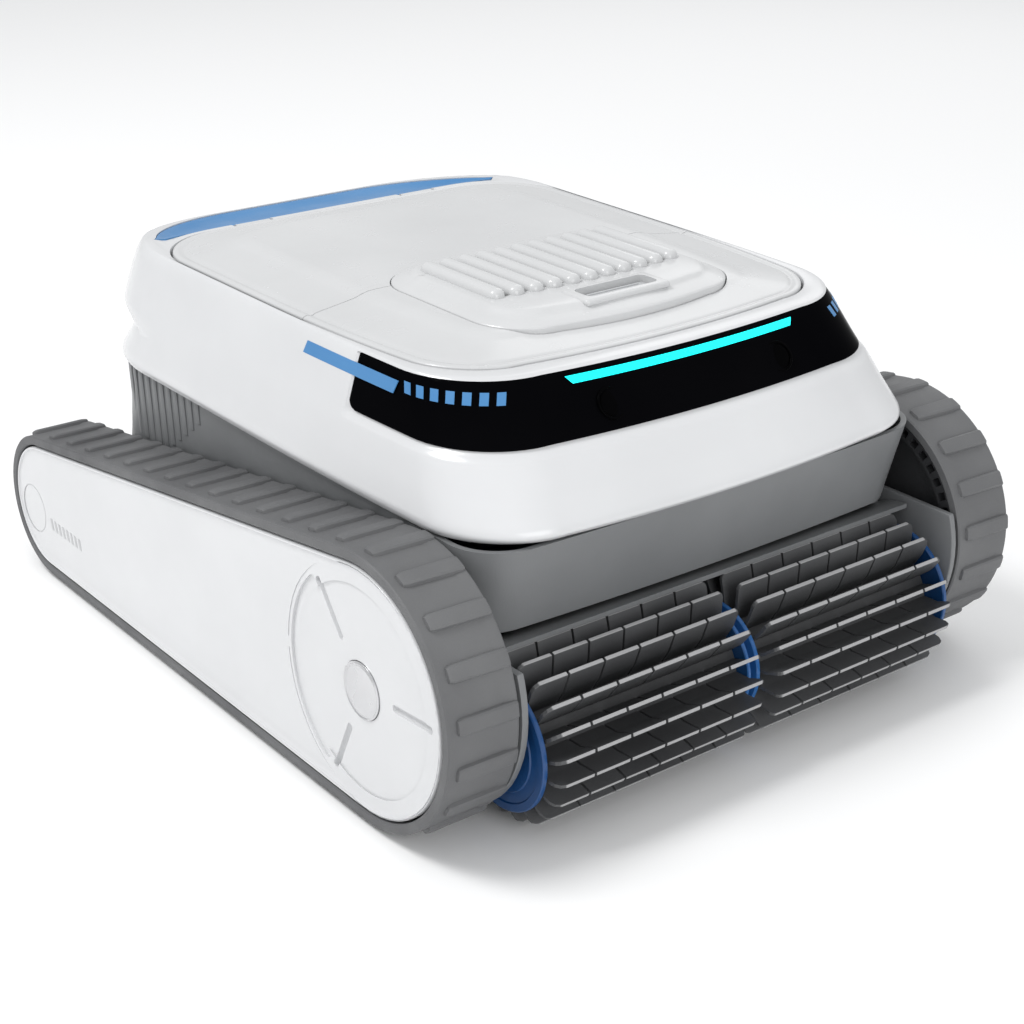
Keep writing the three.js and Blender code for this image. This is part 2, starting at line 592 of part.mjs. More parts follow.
function outletPlate() {
  const outer = loft([
    { ...plateLevel(0), z: SHELL_TOP },
    { ...plateLevel(0), z: PLATE_EDGE_Z },
    { ...plateLevel(3), z: PLATE_EDGE_Z + 3 },
    { ...plateLevel(PLATE_SHOULDER), z: PLATE_TOP_Z },
  ]);
  const under = loft([
    { ...plateLevel(6), z: SHELL_TOP - 1 },
    { ...plateLevel(PLATE_SHOULDER + 3), z: PLATE_TOP_Z - 3.5 },
  ]);
  const first = -(OUTLET_RIB.count - 1) * OUTLET_RIB.pitch / 2;
  const length = OUTLET_RIB.rear - OUTLET_RIB.front - 2 * OUTLET_RIB.radius;
  const ribs = [];
  const slots = [];
  for (let i = 0; i < OUTLET_RIB.count; i += 1) {
    const x = first + i * OUTLET_RIB.pitch;
    const geometry = new THREE.CapsuleGeometry(OUTLET_RIB.radius, length, 2, 10);
    geometry.translate(x, (OUTLET_RIB.rear + OUTLET_RIB.front) / 2, PLATE_TOP_Z + OUTLET_RIB.rise);
    ribs.push(solid(geometry));
    if (i > 0) {
      const middle = x - OUTLET_RIB.pitch / 2;
      const reach = OUTLET_SLOT.width / 2;
      const { front, rear } = OUTLET_SLOT;
      slots.push(box(middle - reach, middle + reach, front, rear, SHELL_TOP, PLATE_TOP_Z + 10));
    }
  }
  const below = under.subtract(latchRoom(LATCH_WALL, LATCH_FLOOR_Z - LATCH_WALL + 1, PLATE_TOP_Z - 3));
  const body = join([outer.subtract(below), ...ribs.map((rib) => rib.subtract(below))]);
  return cut(body, [...slots, latchRoom(LATCH.clearance, LATCH_FLOOR_Z, PLATE_TOP_Z + 3)]);
}

// The room that the latch slides in, grown by a margin all round.
function latchRoom(margin, z0, z1) {
  const half = LATCH.half + margin;
  return box(-half, half, LATCH.front - margin, LATCH.rear + LATCH.travel + margin, z0, z1);
}

function latchTab() {
  const low = LATCH_FLOOR_Z + GAP;
  return box(-LATCH.half, LATCH.half, LATCH.front, LATCH.rear, low, LATCH_FLOOR_Z + LATCH.height);
}

// Track pieces are drawn for the right side. The left ones are their mirror image, but for the belt:
// both sides use the same belt, with its lugs' slanted ends the same way round.
function driveBelt() {
  const loop = trackPrism(WHEEL_RUNNING_GAP, BELT_INNER_X - 1, SIDE + 1);
  const band = trackPrism(BELT_OUT, BELT_INNER_X, SIDE).subtract(loop);
  return join([band, ...lugs()]);
}

function lugs() {
  const outline = trackOutline(BELT_OUT - LUG_ROOT);
  const start = outline.curves[0];
  const lead = start.xRadius * (deg(LUG_FIRST_ANGLE) - start.aStartAngle) / outline.getLength();
  const half = BELT_WIDTH / 2;
  const rise = LUG_ROOT + LUG_HEIGHT;
  const bars = [];
  for (let i = 0; i < LUG_COUNT; i += 1) {
    const along = (i / LUG_COUNT + lead) % 1;
    const at = outline.getPointAt(along);
    const way = outline.getTangentAt(along);
    const shape = new THREE.Shape();
    shape.moveTo(LUG_INSET.low - half, 0);
    shape.lineTo(half - LUG_INSET.high, 0);
    shape.lineTo(half - LUG_INSET.high, rise);
    shape.lineTo(LUG_INSET.low + LUG_INSET.slant - half, rise);
    shape.closePath();
    const geometry = new THREE.ExtrudeGeometry(shape, { depth: LUG_LENGTH, bevelEnabled: false });
    geometry.translate(0, 0, -LUG_LENGTH / 2);
    const turn = new THREE.Matrix4();
    const across = new THREE.Vector3(1, 0, 0);
    turn.makeBasis(across, new THREE.Vector3(0, way.y, -way.x), new THREE.Vector3(0, way.x, way.y));
    geometry.applyMatrix4(turn);
    geometry.translate(SIDE - half, at.x, at.y);
    bars.push(solid(geometry));
  }
  return bars;
}

function sidePanel() {
  const plate = trackPrism(-SIDE_PANEL_GAP, PANEL_INNER_X, SIDE);
  const { y, z } = FRONT_WHEEL;
  const half = HUB_GROOVE.width / 2;
  const grooveFloor = SIDE - HUB_GROOVE.depth;
  const outer = cylinderX(HUB_GROOVE.radius + half, grooveFloor, SIDE + 1, y, z, 32);
  const inner = cylinderX(HUB_GROOVE.radius - half, grooveFloor - 1, SIDE + 2, y, z, 32);
  const capSeat = cylinderX(HUB_CAP.radius + GAP, SIDE - HUB_CAP.seat - GAP, SIDE + 1, y, z, 28);
  const spokes = SPOKE_SLOT.angles.map((angle) => {
    const way = new THREE.Vector2(Math.cos(deg(angle)), Math.sin(deg(angle)));
    const side = new THREE.Vector2(-way.y, way.x).multiplyScalar(SPOKE_SLOT.width / 2);
    const near = new THREE.Vector2(y, z).addScaledVector(way, SPOKE_SLOT.inner);
    const far = new THREE.Vector2(y, z).addScaledVector(way, SPOKE_SLOT.outer);
    const right = [near.clone().sub(side), far.clone().sub(side)];
    const left = [far.clone().add(side), near.clone().add(side)];
    return prismX(new THREE.Shape([...right, ...left]), grooveFloor, SIDE + 1);
  });
  const sockets = [FRONT_WHEEL, REAR_WHEEL].map((wheel) => cylinderX(
    AXLE_RADIUS + AXLE_CLEARANCE, PANEL_INNER_X - 1, PANEL_INNER_X + AXLE_SOCKET, wheel.y, wheel.z, 24));
  return cut(plate, [outer.subtract(inner), capSeat, ...spokes, ...sockets]);
}

function hubCap() {
  const x0 = SIDE - HUB_CAP.seat;
  return cylinderX(HUB_CAP.radius, x0, x0 + HUB_CAP.thickness, FRONT_WHEEL.y, FRONT_WHEEL.z, 28);
}

// A wheel with square slots round its rim and a stub axle on each face.
function trackWheel(wheel, innerReach) {
  const x0 = WHEEL_INNER_X;
  const drum = cylinderX(wheel.radius, x0, x0 + WHEEL_WIDTH, wheel.y, wheel.z, 36);
  const dish = cylinderX(
    wheel.radius - WHEEL_DISH.rim, x0 - 1, x0 + WHEEL_DISH.depth, wheel.y, wheel.z, 32);
  const boss = cylinderX(AXLE_RADIUS + WHEEL_DISH.boss, x0, x0 + WHEEL_DISH.bossHeight, wheel.y, wheel.z, 20);
  const axle = cylinderX(AXLE_RADIUS, innerReach, PANEL_INNER_X + AXLE_SOCKET - 1, wheel.y, wheel.z, 16);
  const count = Math.round(2 * Math.PI * wheel.radius / WHEEL_SLOT.pitch);
  const slots = [];
  for (let i = 0; i < count; i += 1) {
    const geometry = new THREE.BoxGeometry(WHEEL_SLOT.width, WHEEL_SLOT.width, WHEEL_SLOT.depth);
    geometry.translate(0, 0, wheel.radius - WHEEL_SLOT.rim - WHEEL_SLOT.depth / 2);
    geometry.rotateX(2 * Math.PI * i / count);
    geometry.translate(x0 + WHEEL_SLOT.width / 2 - 1, wheel.y, wheel.z);
    slots.push(solid(geometry));
  }
  return cut(join([drum.subtract(dish), boss, axle]), slots);
}

// Fixed frame inside the belt loop, between the two wheels, that carries the side panel.
function trackFrame() {
  const body = trackPrism(-FRAME.inset, TUB_HALF_WIDTH + FRAME.hullGap, PANEL_INNER_X - GAP);
  const clear = [FRONT_WHEEL, REAR_WHEEL].map((wheel) => cylinderX(
    wheel.radius + FRAME.wheelGap, 0, SIDE, wheel.y, wheel.z, 48));
  const middle = box(0, SIDE, FRONT_WHEEL.y, REAR_WHEEL.y, 0, SHELL_TOP);
  return cut(body.intersect(middle), clear);
}

// Brush pieces: a shaft with a core, two finned sleeves, two end discs and a double ring in the middle.
function brushSleeve() {
  const x0 = BRUSH.middleGap;
  const x1 = BRUSH.half - BRUSH_DISC.thickness - GAP;
  const parts = [cylinderX(BRUSH.tube, x0, x1, BRUSH.y, BRUSH.z, 21)];
  const tip = Math.sqrt(BRUSH.radius ** 2 - (FIN.thickness / 2) ** 2);
  const foot = BRUSH.tube - FIN.foot;
  for (let i = 0; i < FIN.count; i += 1) {
    const geometry = new THREE.BoxGeometry(x1 - x0, FIN.thickness, tip - foot);
    geometry.translate((x0 + x1) / 2, 0, (tip + foot) / 2);
    geometry.rotateX(2 * Math.PI * (i + FIN.phase) / FIN.count);
    geometry.translate(0, BRUSH.y, BRUSH.z);
    parts.push(solid(geometry));
  }
  const slits = [];
  for (let k = 1; k < FIN.segments; k += 1) {
    const x = x0 + (x1 - x0) * k / FIN.segments;
    const ring = cylinderX(BRUSH.radius + 2, x - FIN.slit / 2, x + FIN.slit / 2, BRUSH.y, BRUSH.z, 21);
    slits.push(ring.subtract(cylinderX(FIN.root, x - 2, x + 2, BRUSH.y, BRUSH.z, 21)));
  }
  const bore = cylinderX(BRUSH_CORE_BORE + GAP, 0, SIDE, BRUSH.y, BRUSH.z, 24);
  return cut(join(parts), [bore, ...slits]);
}

function brushCore() {
  const reach = BRACKET.inner + BRUSH_SHAFT.reach;
  const half = BRUSH.half - BRUSH_DISC.thickness - GAP;
  const core = cylinderX(BRUSH_CORE_BORE, -half, half, BRUSH.y, BRUSH.z, 24);
  return core.add(cylinderX(BRUSH_SHAFT.radius, -reach, reach, BRUSH.y, BRUSH.z, 24));
}

function brushDisc() {
  const x1 = BRUSH.half;
  const disc = cylinderX(BRUSH_DISC.radius, x1 - BRUSH_DISC.thickness, x1, BRUSH.y, BRUSH.z, 40);
  return disc.subtract(cylinderX(BRUSH_SHAFT.radius + GAP, 0, SIDE, BRUSH.y, BRUSH.z, 24));
}

function brushRing() {
  const half = BRUSH.middleGap - GAP;
  const waistHalf = half - BRUSH_RING.thickness;
  const ring = cylinderX(BRUSH_RING.radius, -half, half, BRUSH.y, BRUSH.z, 32);
  const groove = cylinderX(BRUSH_RING.radius + 1, -waistHalf, waistHalf, BRUSH.y, BRUSH.z, 32);
  const web = cylinderX(BRUSH_RING.inner + 1, -half, half, BRUSH.y, BRUSH.z, 32);
  const bore = cylinderX(BRUSH_CORE_BORE + GAP, -half - 1, half + 1, BRUSH.y, BRUSH.z, 24);
  return cut(ring, [groove.subtract(web), bore]);
}

// Guard plate beside the brush end: it holds the brush shaft and the front wheel's axle.
function brushBracket() {
  const x0 = BRACKET.inner;
  const x1 = x0 + BRACKET.thickness;
  const flange = cylinderX(BRACKET_RADIUS, x0, x1, FRONT_WHEEL.y, FRONT_WHEEL.z, 64);
  const rear = FRONT_WHEEL.y + BRACKET.rear;
  const room = box(0, SIDE, -OVERALL_WIDTH, rear, BRACKET.floorGap, SCOOP.bottom - 2 * GAP);
  return cut(flange.intersect(room), [
    cylinderX(BRUSH_SHAFT.radius + BRUSH_SHAFT.clearance, 0, SIDE, BRUSH.y, BRUSH.z, 24),
    cylinderX(AXLE_RADIUS + AXLE_CLEARANCE, 0, SIDE, FRONT_WHEEL.y, FRONT_WHEEL.z, 24),
  ]);
}

// Pieces inside the hull
function batteryPack() {
  const body = box(-BATTERY.half, BATTERY.half, BATTERY.front, BATTERY.rear, BATTERY.bottom, BATTERY.top);
  const { groove } = BATTERY;
  const grooves = [-60, -20, 20, 60].map((x) => box(
    x - groove, x + groove, BATTERY.front - 1, BATTERY.rear + 1, BATTERY.top - groove, BATTERY.top + 1));
  return cut(body, grooves);
}

function pumpHousing() {
  const tube = cylinderZ(PUMP.outer, PUMP.bottom, PUMP.top, 0, PUMP.y).subtract(
    cylinderZ(PUMP.outer - PUMP.wall, PUMP.bottom - 1, PUMP.top + 1, 0, PUMP.y));
  const reach = PUMP.outer - 1;
  const half = PUMP.arm / 2;
  const arms = box(-reach, reach, PUMP.y - half, PUMP.y + half, PUMP.bottom, PUMP.bottom + PUMP.arm);
  const seat = cylinderZ(MOTOR.radius + GAP, PUMP.bottom - 1, MOTOR.top + PUMP.arm, 0, PUMP.y);
  const collar = cylinderZ(MOTOR.radius + MOTOR.collar, PUMP.bottom, PUMP.bottom + PUMP.arm, 0, PUMP.y);
  return join([tube, arms, collar]).subtract(seat);
}

function pumpMotor() {
  const can = cylinderZ(MOTOR.radius, MOTOR.bottom, MOTOR.top, 0, PUMP.y);
  const shaftTop = IMPELLER.bottom + IMPELLER.height - 4;
  const shaft = cylinderZ(IMPELLER.bore - GAP, MOTOR.top - 1, shaftTop, 0, PUMP.y, 20);
  return can.add(shaft);
}

function impeller() {
  const hub = cylinderZ(IMPELLER.hub, IMPELLER.bottom, IMPELLER.bottom + IMPELLER.height, 0, PUMP.y, 32);
  const blades = [];
  const root = IMPELLER.hub - BLADE.root;
  for (let i = 0; i < BLADE.count; i += 1) {
    const geometry = new THREE.BoxGeometry(IMPELLER.radius - root, BLADE.width, BLADE.height);
    geometry.rotateX(deg(BLADE.angle));
    geometry.translate((IMPELLER.radius + root) / 2, 0, 0);
    geometry.rotateZ(2 * Math.PI * i / BLADE.count);
    geometry.translate(0, PUMP.y, IMPELLER.bottom + IMPELLER.height / 2);
    blades.push(solid(geometry));
  }
  const boreTop = IMPELLER.bottom + IMPELLER.height - 3;
  const bore = cylinderZ(IMPELLER.bore, IMPELLER.bottom - 1, boreTop, 0, PUMP.y, 20);
  return join([hub, ...blades]).subtract(bore);
}

function filterBasket() {
  const outline = (inset) => planOutline({
    half: BASKET.half - inset,
    front: BASKET.front + inset,
    rear: BASKET.rear - inset,
    frontRadius: BASKET.corner,
    rearRadius: BASKET.corner,
  });
  const body = prismZ(outline(0), BASKET.bottom, BASKET.top).subtract(
    prismZ(outline(BASKET.wall), BASKET.bottom + BASKET.wall, BASKET.top + 1));
  const low = BASKET.bottom + BASKET_WINDOW.sill;
  const high = BASKET.top - BASKET_WINDOW.head;
  const windows = [];
  for (const x of BASKET_WINDOW.columns) {
    windows.push(box(x - BASKET_WINDOW.half, x + BASKET_WINDOW.half, 0, SIDE, low, high));
  }
  for (const y of BASKET_WINDOW.rows) {
    windows.push(box(-SIDE, SIDE, y - BASKET_WINDOW.half, y + BASKET_WINDOW.half, low, high));
  }
  const mouthFront = BASKET.front + BASKET.corner;
  const mouthRear = mouthFront + 22;
  const mouth = box(-INTAKE.half, INTAKE.half, mouthFront, mouthRear, BASKET.bottom - 1, BASKET.bottom + 6);
  return cut(body, [...windows, mouth]);
}

function driveMotor() {
  const y = REAR_WHEEL.y - DRIVE_MOTOR.offset;
  const inner = DRIVE_MOTOR.outer - DRIVE_MOTOR.length;
  return cylinderX(DRIVE_MOTOR.radius, inner, DRIVE_MOTOR.outer, y, REAR_WHEEL.z, 28);
}

function controlBox() {
  const body = box(-BOARD.half, BOARD.half, BOARD.y - BOARD.thickness, BOARD.y, BOARD.bottom, BOARD.top);
  const low = BOARD.bottom + 8;
  const socket = box(-BOARD.socket, BOARD.socket, BOARD.y - 4, BOARD.y + 1, low, low + BOARD.socket);
  return body.subtract(socket);
}

function intakeFlap() {
  const half = INTAKE.half - FLAP.clearance;
  const top = TUB_FLOOR + FLAP.thickness;
  const plate = box(
    -half, half, INTAKE.front + FLAP.clearance, INTAKE.rear - 2 * FLAP.clearance, TUB_FLOOR, top);
  const y = INTAKE.rear - FLAP.barrel - 1.2 * FLAP.clearance;
  return plate.add(cylinderX(FLAP.barrel, -half, half, y, TUB_FLOOR + FLAP.barrel, 16));
}

function powerButton() {
  return cylinderY(
    BUTTON.radius, SHELL_REAR - BUTTON.length, SHELL_REAR - BUTTON.inset, BUTTON.x, BUTTON.z, 32);
}

function chargeCap() {
  const y = SHELL_REAR - CAP.inset;
  const low = CAP.z - CAP.height / 2;
  const high = CAP.z + CAP.height / 2;
  const half = CAP.width / 2;
  const plate = box(CAP.x - half, CAP.x + half, y - CAP.thickness, y, low, high);
  return plate.add(cylinderX(CAP.barrel, CAP.x - half, CAP.x + half, y - CAP.barrel, high, 16));
}

function assemble() {
  const group = new THREE.Group();
  const put = (name, body, material) => group.add(node(name, body, material));
  const pair = (name, make, material) => {
    const body = make();
    put(`${name}_right`, body, material);
    put(`${name}_left`, mirrored(body), material);
  };
  put('chassis_tub', chassisTub(), GREY);
  put('upper_shell', upperShell(), WHITE);
  put('front_panel', frontPanel(), BLACK);
  put('led_bar', ledBody(), CYAN);
  put('lens_right', lensBody(1), BLACK);
  put('lens_left', lensBody(-1), BLACK);
  put('front_scoop', frontScoop(), GREY);
  put('rear_handle', rearHandle(), BLUE);
  put('lid_rear', lidRear(), WHITE);
  put('lid_front', lidFront(), WHITE);
  put('outlet_plate', outletPlate(), WHITE);
  put('latch_tab', latchTab(), WHITE);
  pair('hinge_pin', () => hingePin(1), METAL);
  const belt = driveBelt();
  put('drive_belt_right', belt, BELT_GREY);
  put('drive_belt_left', belt.translate([BELT_WIDTH - OVERALL_WIDTH, 0, 0]), BELT_GREY);
  pair('side_panel', sidePanel, WHITE);
  pair('hub_cap', hubCap, METAL);
  pair('front_wheel', () => trackWheel(FRONT_WHEEL, BRACKET.inner + GAP), DARK);
  pair('rear_wheel', () => trackWheel(REAR_WHEEL, DRIVE_MOTOR.outer + 1), DARK);
  pair('track_frame', trackFrame, DARK);
  put('brush_core', brushCore(), GREY);
  pair('brush_sleeve', brushSleeve, DARK);
  pair('brush_disc', brushDisc, DEEP_BLUE);
  put('brush_ring', brushRing(), BLUE);
  pair('brush_bracket', brushBracket, GREY);
  put('battery_pack', batteryPack(), INNER_GREY);
  put('pump_housing', pumpHousing(), INNER_GREY);
  put('pump_motor', pumpMotor(), METAL);
  put('impeller', impeller(), INNER_GREY);
  put('filter_basket', filterBasket(), INNER_GREY);
  pair('drive_motor', driveMotor, METAL);
  put('control_box', controlBox(), INNER_GREY);
  put('intake_flap', intakeFlap(), DARK);
  put('power_button', powerButton(), BLUE);
  put('charge_cap', chargeCap(), DARK);
  return group;
}

export default assemble();
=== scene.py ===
import bpy
import math
from mathutils import Matrix, Vector


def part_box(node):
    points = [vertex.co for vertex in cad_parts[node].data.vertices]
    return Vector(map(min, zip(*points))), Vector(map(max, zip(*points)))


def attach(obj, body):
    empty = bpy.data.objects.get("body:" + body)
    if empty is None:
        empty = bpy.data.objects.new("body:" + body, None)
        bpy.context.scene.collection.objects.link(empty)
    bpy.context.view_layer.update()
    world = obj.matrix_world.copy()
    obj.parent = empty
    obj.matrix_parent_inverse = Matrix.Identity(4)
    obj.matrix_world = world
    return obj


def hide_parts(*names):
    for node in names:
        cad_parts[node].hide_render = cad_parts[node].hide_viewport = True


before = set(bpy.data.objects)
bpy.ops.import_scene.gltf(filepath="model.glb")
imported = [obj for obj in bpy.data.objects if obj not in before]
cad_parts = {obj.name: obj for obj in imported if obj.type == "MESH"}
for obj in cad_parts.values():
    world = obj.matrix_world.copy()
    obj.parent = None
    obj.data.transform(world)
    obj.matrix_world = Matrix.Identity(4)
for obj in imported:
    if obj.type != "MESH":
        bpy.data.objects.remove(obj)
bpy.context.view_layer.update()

# ---------------------------------------------------------------- studio
# A pale floor, a bright even sky and three soft lamps, as in a packshot studio.
# The camera stands low at the machine's front left corner and looks slightly down.
MM = 0.001
bpy.ops.object.select_all(action="DESELECT")
bpy.ops.mesh.primitive_plane_add(size=12, location=(0, 0, -0.0002))
floor = bpy.context.object
floor.name = "studio_floor"
paper = bpy.data.materials.new("studio_paper")
paper.use_nodes = True
paper_shader = paper.node_tree.nodes["Principled BSDF"]
paper_noise = paper.node_tree.nodes.new("ShaderNodeTexNoise")
paper_noise.inputs["Scale"].default_value = 0.8
paper_tone = paper.node_tree.nodes.new("ShaderNodeValToRGB")
paper_tone.color_ramp.elements[0].color = (0.93, 0.93, 0.93, 1)
paper_tone.color_ramp.elements[1].color = (0.95, 0.95, 0.95, 1)
paper.node_tree.links.new(paper_noise.outputs["Fac"], paper_tone.inputs["Fac"])
paper.node_tree.links.new(paper_tone.outputs["Color"], paper_shader.inputs["Base Color"])
paper_shader.inputs["Roughness"].default_value = 0.9
paper_shader.inputs["Specular IOR Level"].default_value = 0.1
floor.data.materials.append(paper)

sky = bpy.data.worlds.new("studio_sky")
sky.use_nodes = True
sky.node_tree.nodes["Background"].inputs["Color"].default_value = (0.98, 0.99, 1.0, 1)
sky.node_tree.nodes["Background"].inputs["Strength"].default_value = 0.7
bpy.context.scene.world = sky
bpy.context.scene.view_settings.view_transform = "Standard"

for name, place, size, power in (
    ("key_lamp", (-1.3, 0.5, 2.3), 0.9, 36),
    ("front_lamp", (-0.3, -2.6, 0.9), 1.6, 24),
    ("rim_lamp", (1.9, 1.2, 1.6), 1.4, 5),
):
    bpy.ops.object.light_add(type="AREA", location=place)
    lamp = bpy.context.object
    lamp.name = name
    lamp.data.size = size
    lamp.data.energy = power
    lamp.rotation_euler = (-Vector(place)).to_track_quat("-Z", "Y").to_euler()

YAW = math.radians(37.885)
PITCH = math.radians(23.936)
ROLL = math.radians(0.282)
ahead = Vector((math.sin(YAW) * math.cos(PITCH), math.cos(YAW) * math.cos(PITCH), -math.sin(PITCH)))
level_right = Vector((math.cos(YAW), -math.sin(YAW), 0))
level_up = level_right.cross(ahead)
right = level_right * math.cos(ROLL) + level_up * math.sin(ROLL)
up = level_up * math.cos(ROLL) - level_right * math.sin(ROLL)
bpy.ops.object.camera_add()
camera = bpy.context.object
camera.matrix_world = Matrix.Translation((-0.6491, -0.8596, 0.5411)) @ Matrix(
    (right, up, -ahead)).transposed().to_4x4()
camera.data.lens = 67.45
camera.data.sensor_width = 36
camera.data.clip_start = 0.05
bpy.context.scene.camera = camera

# ---------------------------------------------------------------- white upper shell
# Glossy injection-moulded cover over the grey tub, with a flared lower edge and a waist at the rear.
# The lid drops into its open top, and the black front panel sits in a shallow recess round its nose.
shell_low, shell_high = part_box("upper_shell")
SHELL_HALF = shell_high.x / MM
SHELL_FRONT = shell_low.y / MM
SHELL_REAR = shell_high.y / MM - 0.5
SHELL_BOTTOM = shell_low.z / MM
SHELL_TOP = shell_high.z / MM
PANEL_REAR = -82
PANEL_LOW = SHELL_BOTTOM + 39
PANEL_HIGH = SHELL_TOP - 2.6
lid_low, lid_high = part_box("lid_rear")
LID_HALF = lid_high.x / MM
LID_REAR = 156
LID_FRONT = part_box("lid_front")[0].y / MM


def moulded(name, dark, light, rough, grain=0.12, scale=1400, coat=0.0, metal=0.0, patch=9):
    """Moulded plastic: a faint cloud of tone, a fine spark-eroded grain and uneven polish."""
    material = bpy.data.materials.new(name)
    material.use_nodes = True
    tree = material.node_tree
    shader = tree.nodes["Principled BSDF"]
    place = tree.nodes.new("ShaderNodeTexCoord")
    cloud = tree.nodes.new("ShaderNodeTexNoise")
    cloud.inputs["Scale"].default_value = patch
    cloud.inputs["Detail"].default_value = 6
    tone = tree.nodes.new("ShaderNodeValToRGB")
    tone.color_ramp.elements[0].position = 0.3
    tone.color_ramp.elements[0].color = (*dark, 1)
    tone.color_ramp.elements[1].position = 0.7
    tone.color_ramp.elements[1].color = (*light, 1)
    smear = tree.nodes.new("ShaderNodeTexNoise")
    smear.inputs["Scale"].default_value = patch * 5
    smear.inputs["Detail"].default_value = 8
    polish = tree.nodes.new("ShaderNodeMapRange")
    polish.inputs["From Min"].default_value = 0.3
    polish.inputs["From Max"].default_value = 0.7
    polish.inputs["To Min"].default_value = rough * 0.85
    polish.inputs["To Max"].default_value = min(1, rough * 1.2)
    fine = tree.nodes.new("ShaderNodeTexNoise")
    fine.inputs["Scale"].default_value = scale
    fine.inputs["Detail"].default_value = 3
    bump = tree.nodes.new("ShaderNodeBump")
    bump.inputs["Strength"].default_value = grain
    bump.inputs["Distance"].default_value = 0.0003
    for node in (cloud, smear, fine):
        tree.links.new(place.outputs["Object"], node.inputs["Vector"])
    tree.links.new(cloud.outputs["Fac"], tone.inputs["Fac"])
    tree.links.new(tone.outputs["Color"], shader.inputs["Base Color"])
    tree.links.new(smear.outputs["Fac"], polish.inputs["Value"])
    tree.links.new(polish.outputs["Result"], shader.inputs["Roughness"])
    tree.links.new(fine.outputs["Fac"], bump.inputs["Height"])
    tree.links.new(bump.outputs["Normal"], shader.inputs["Normal"])
    shader.inputs["Metallic"].default_value = metal
    shader.inputs["Coat Weight"].default_value = coat
    shader.inputs["Coat Roughness"].default_value = 0.08
    return material


def outline(half, front, rear, front_radius, rear_radius, bow=0, taper=0, rear_bow=0):
    """Plan outline as (x, y), from the middle of the front round the +X side to the middle of the rear."""
    points = []
    run = half - front_radius
    for i in range(17):
        x = run * i / 16
        points.append((x, front + bow * (x / run) ** 2))
    for i in range(1, 17):
        a = math.radians(-90 + 90 * i / 16)
        points.append((half - front_radius + front_radius * math.cos(a),
                       front + bow + front_radius + front_radius * math.sin(a)))
    start = points[-1][1]
    marks = [PANEL_REAR - 4, PANEL_REAR - 1.5, PANEL_REAR + 1.5, PANEL_REAR + 4]
    if start < marks[0] - 8:
        points += [(half, start + (marks[0] - start) * i / 4) for i in range(1, 4)]
        points += [(half, y) for y in marks]
        start = marks[-1]
    else:
        points += [(half, start + 12 * i / 7) for i in range(1, 8)]
        start = points[-1][1]
    end = rear - rear_radius
    points += [(half, start + (end - start) * i / 10) for i in range(1, 11)]
    for i in range(1, 17):
        a = math.radians(90 * i / 16)
        points.append((half - rear_radius + rear_radius * math.cos(a),
                       rear - rear_bow - rear_radius + rear_radius * math.sin(a)))
    side = half - rear_radius
    points += [(side * (1 - i / 10), rear - rear_bow * (1 - i / 10) ** 2) for i in range(1, 11)]
    depth = min(front, -1)
    return [(x * (1 - taper * max(0, y / depth) ** 2), y) for x, y in points]


def round_ring(half_ring):
    """The half outline with its mirror image, as one closed ring."""
    return half_ring + [(-x, y) for x, y in half_ring[-2:0:-1]]


def soften(path, steps=5):
    """A path of number rows whose first number is how far each corner is rounded, as a share of its sides."""
    smooth = [path[0][1:]]
    for before, here, after in zip(path, path[1:], path[2:]):
        share = here[0]
        if share == 0:
            smooth.append(here[1:])
            continue
        start = [h + (b - h) * share for h, b in zip(here[1:], before[1:])]
        end = [h + (a - h) * share for h, a in zip(here[1:], after[1:])]
        for i in range(steps + 1):
            t = i / steps
            smooth.append([(1 - t) ** 2 * s + 2 * t * (1 - t) * h + t * t * e
                           for s, h, e in zip(start, here[1:], end)])
    return smooth + [path[-1][1:]]


def grid(name, rows, wrap=False, close=False, ends=False):
    """A plane subdivided into rows of points in millimetres, wrapped and closed where asked."""
    rows = [list(row) + ([row[0]] if wrap else []) for row in rows]
    if close:
        rows.append(rows[0])
    across = len(rows[0])
    bpy.ops.object.select_all(action="DESELECT")
    bpy.ops.mesh.primitive_grid_add(x_subdivisions=across - 1, y_subdivisions=len(rows) - 1)
    piece = bpy.context.object
    piece.name = name
    for vertex, point in zip(piece.data.vertices, (p for row in rows for p in row)):
        vertex.co = Vector(point) * MM
    while piece.data.uv_layers:
        piece.data.uv_layers.remove(piece.data.uv_layers[0])
    bpy.ops.object.mode_set(mode="EDIT")
    bpy.ops.mesh.select_all(action="SELECT")
    bpy.ops.mesh.remove_doubles(threshold=2e-6)
    if ends:
        bpy.ops.mesh.select_all(action="DESELECT")
        bpy.ops.mesh.select_mode(type="EDGE")
        bpy.ops.mesh.select_non_manifold()
        bpy.ops.mesh.edge_face_add()
        bpy.ops.mesh.select_all(action="SELECT")
    bpy.ops.mesh.normals_make_consistent(inside=False)
    bpy.ops.object.mode_set(mode="OBJECT")
    return piece


def modify(piece, kind, **settings):
    """Adds one modifier to a piece and applies it."""
    modifier = piece.modifiers.new(kind, kind)
    for key, value in settings.items():
        setattr(modifier, key, value)
    bpy.ops.object.select_all(action="DESELECT")
    piece.select_set(True)
    bpy.context.view_layer.objects.active = piece
    bpy.ops.object.modifier_apply(modifier=modifier.name)
    return piece


def carve(piece, *cutters, how="DIFFERENCE"):
    """Cuts other solids out of a piece, or joins them to it, and removes them."""
    for cutter in cutters:
        modify(piece, "BOOLEAN", operation=how, object=cutter, solver="EXACT")
        bpy.data.objects.remove(cutter)
    return piece


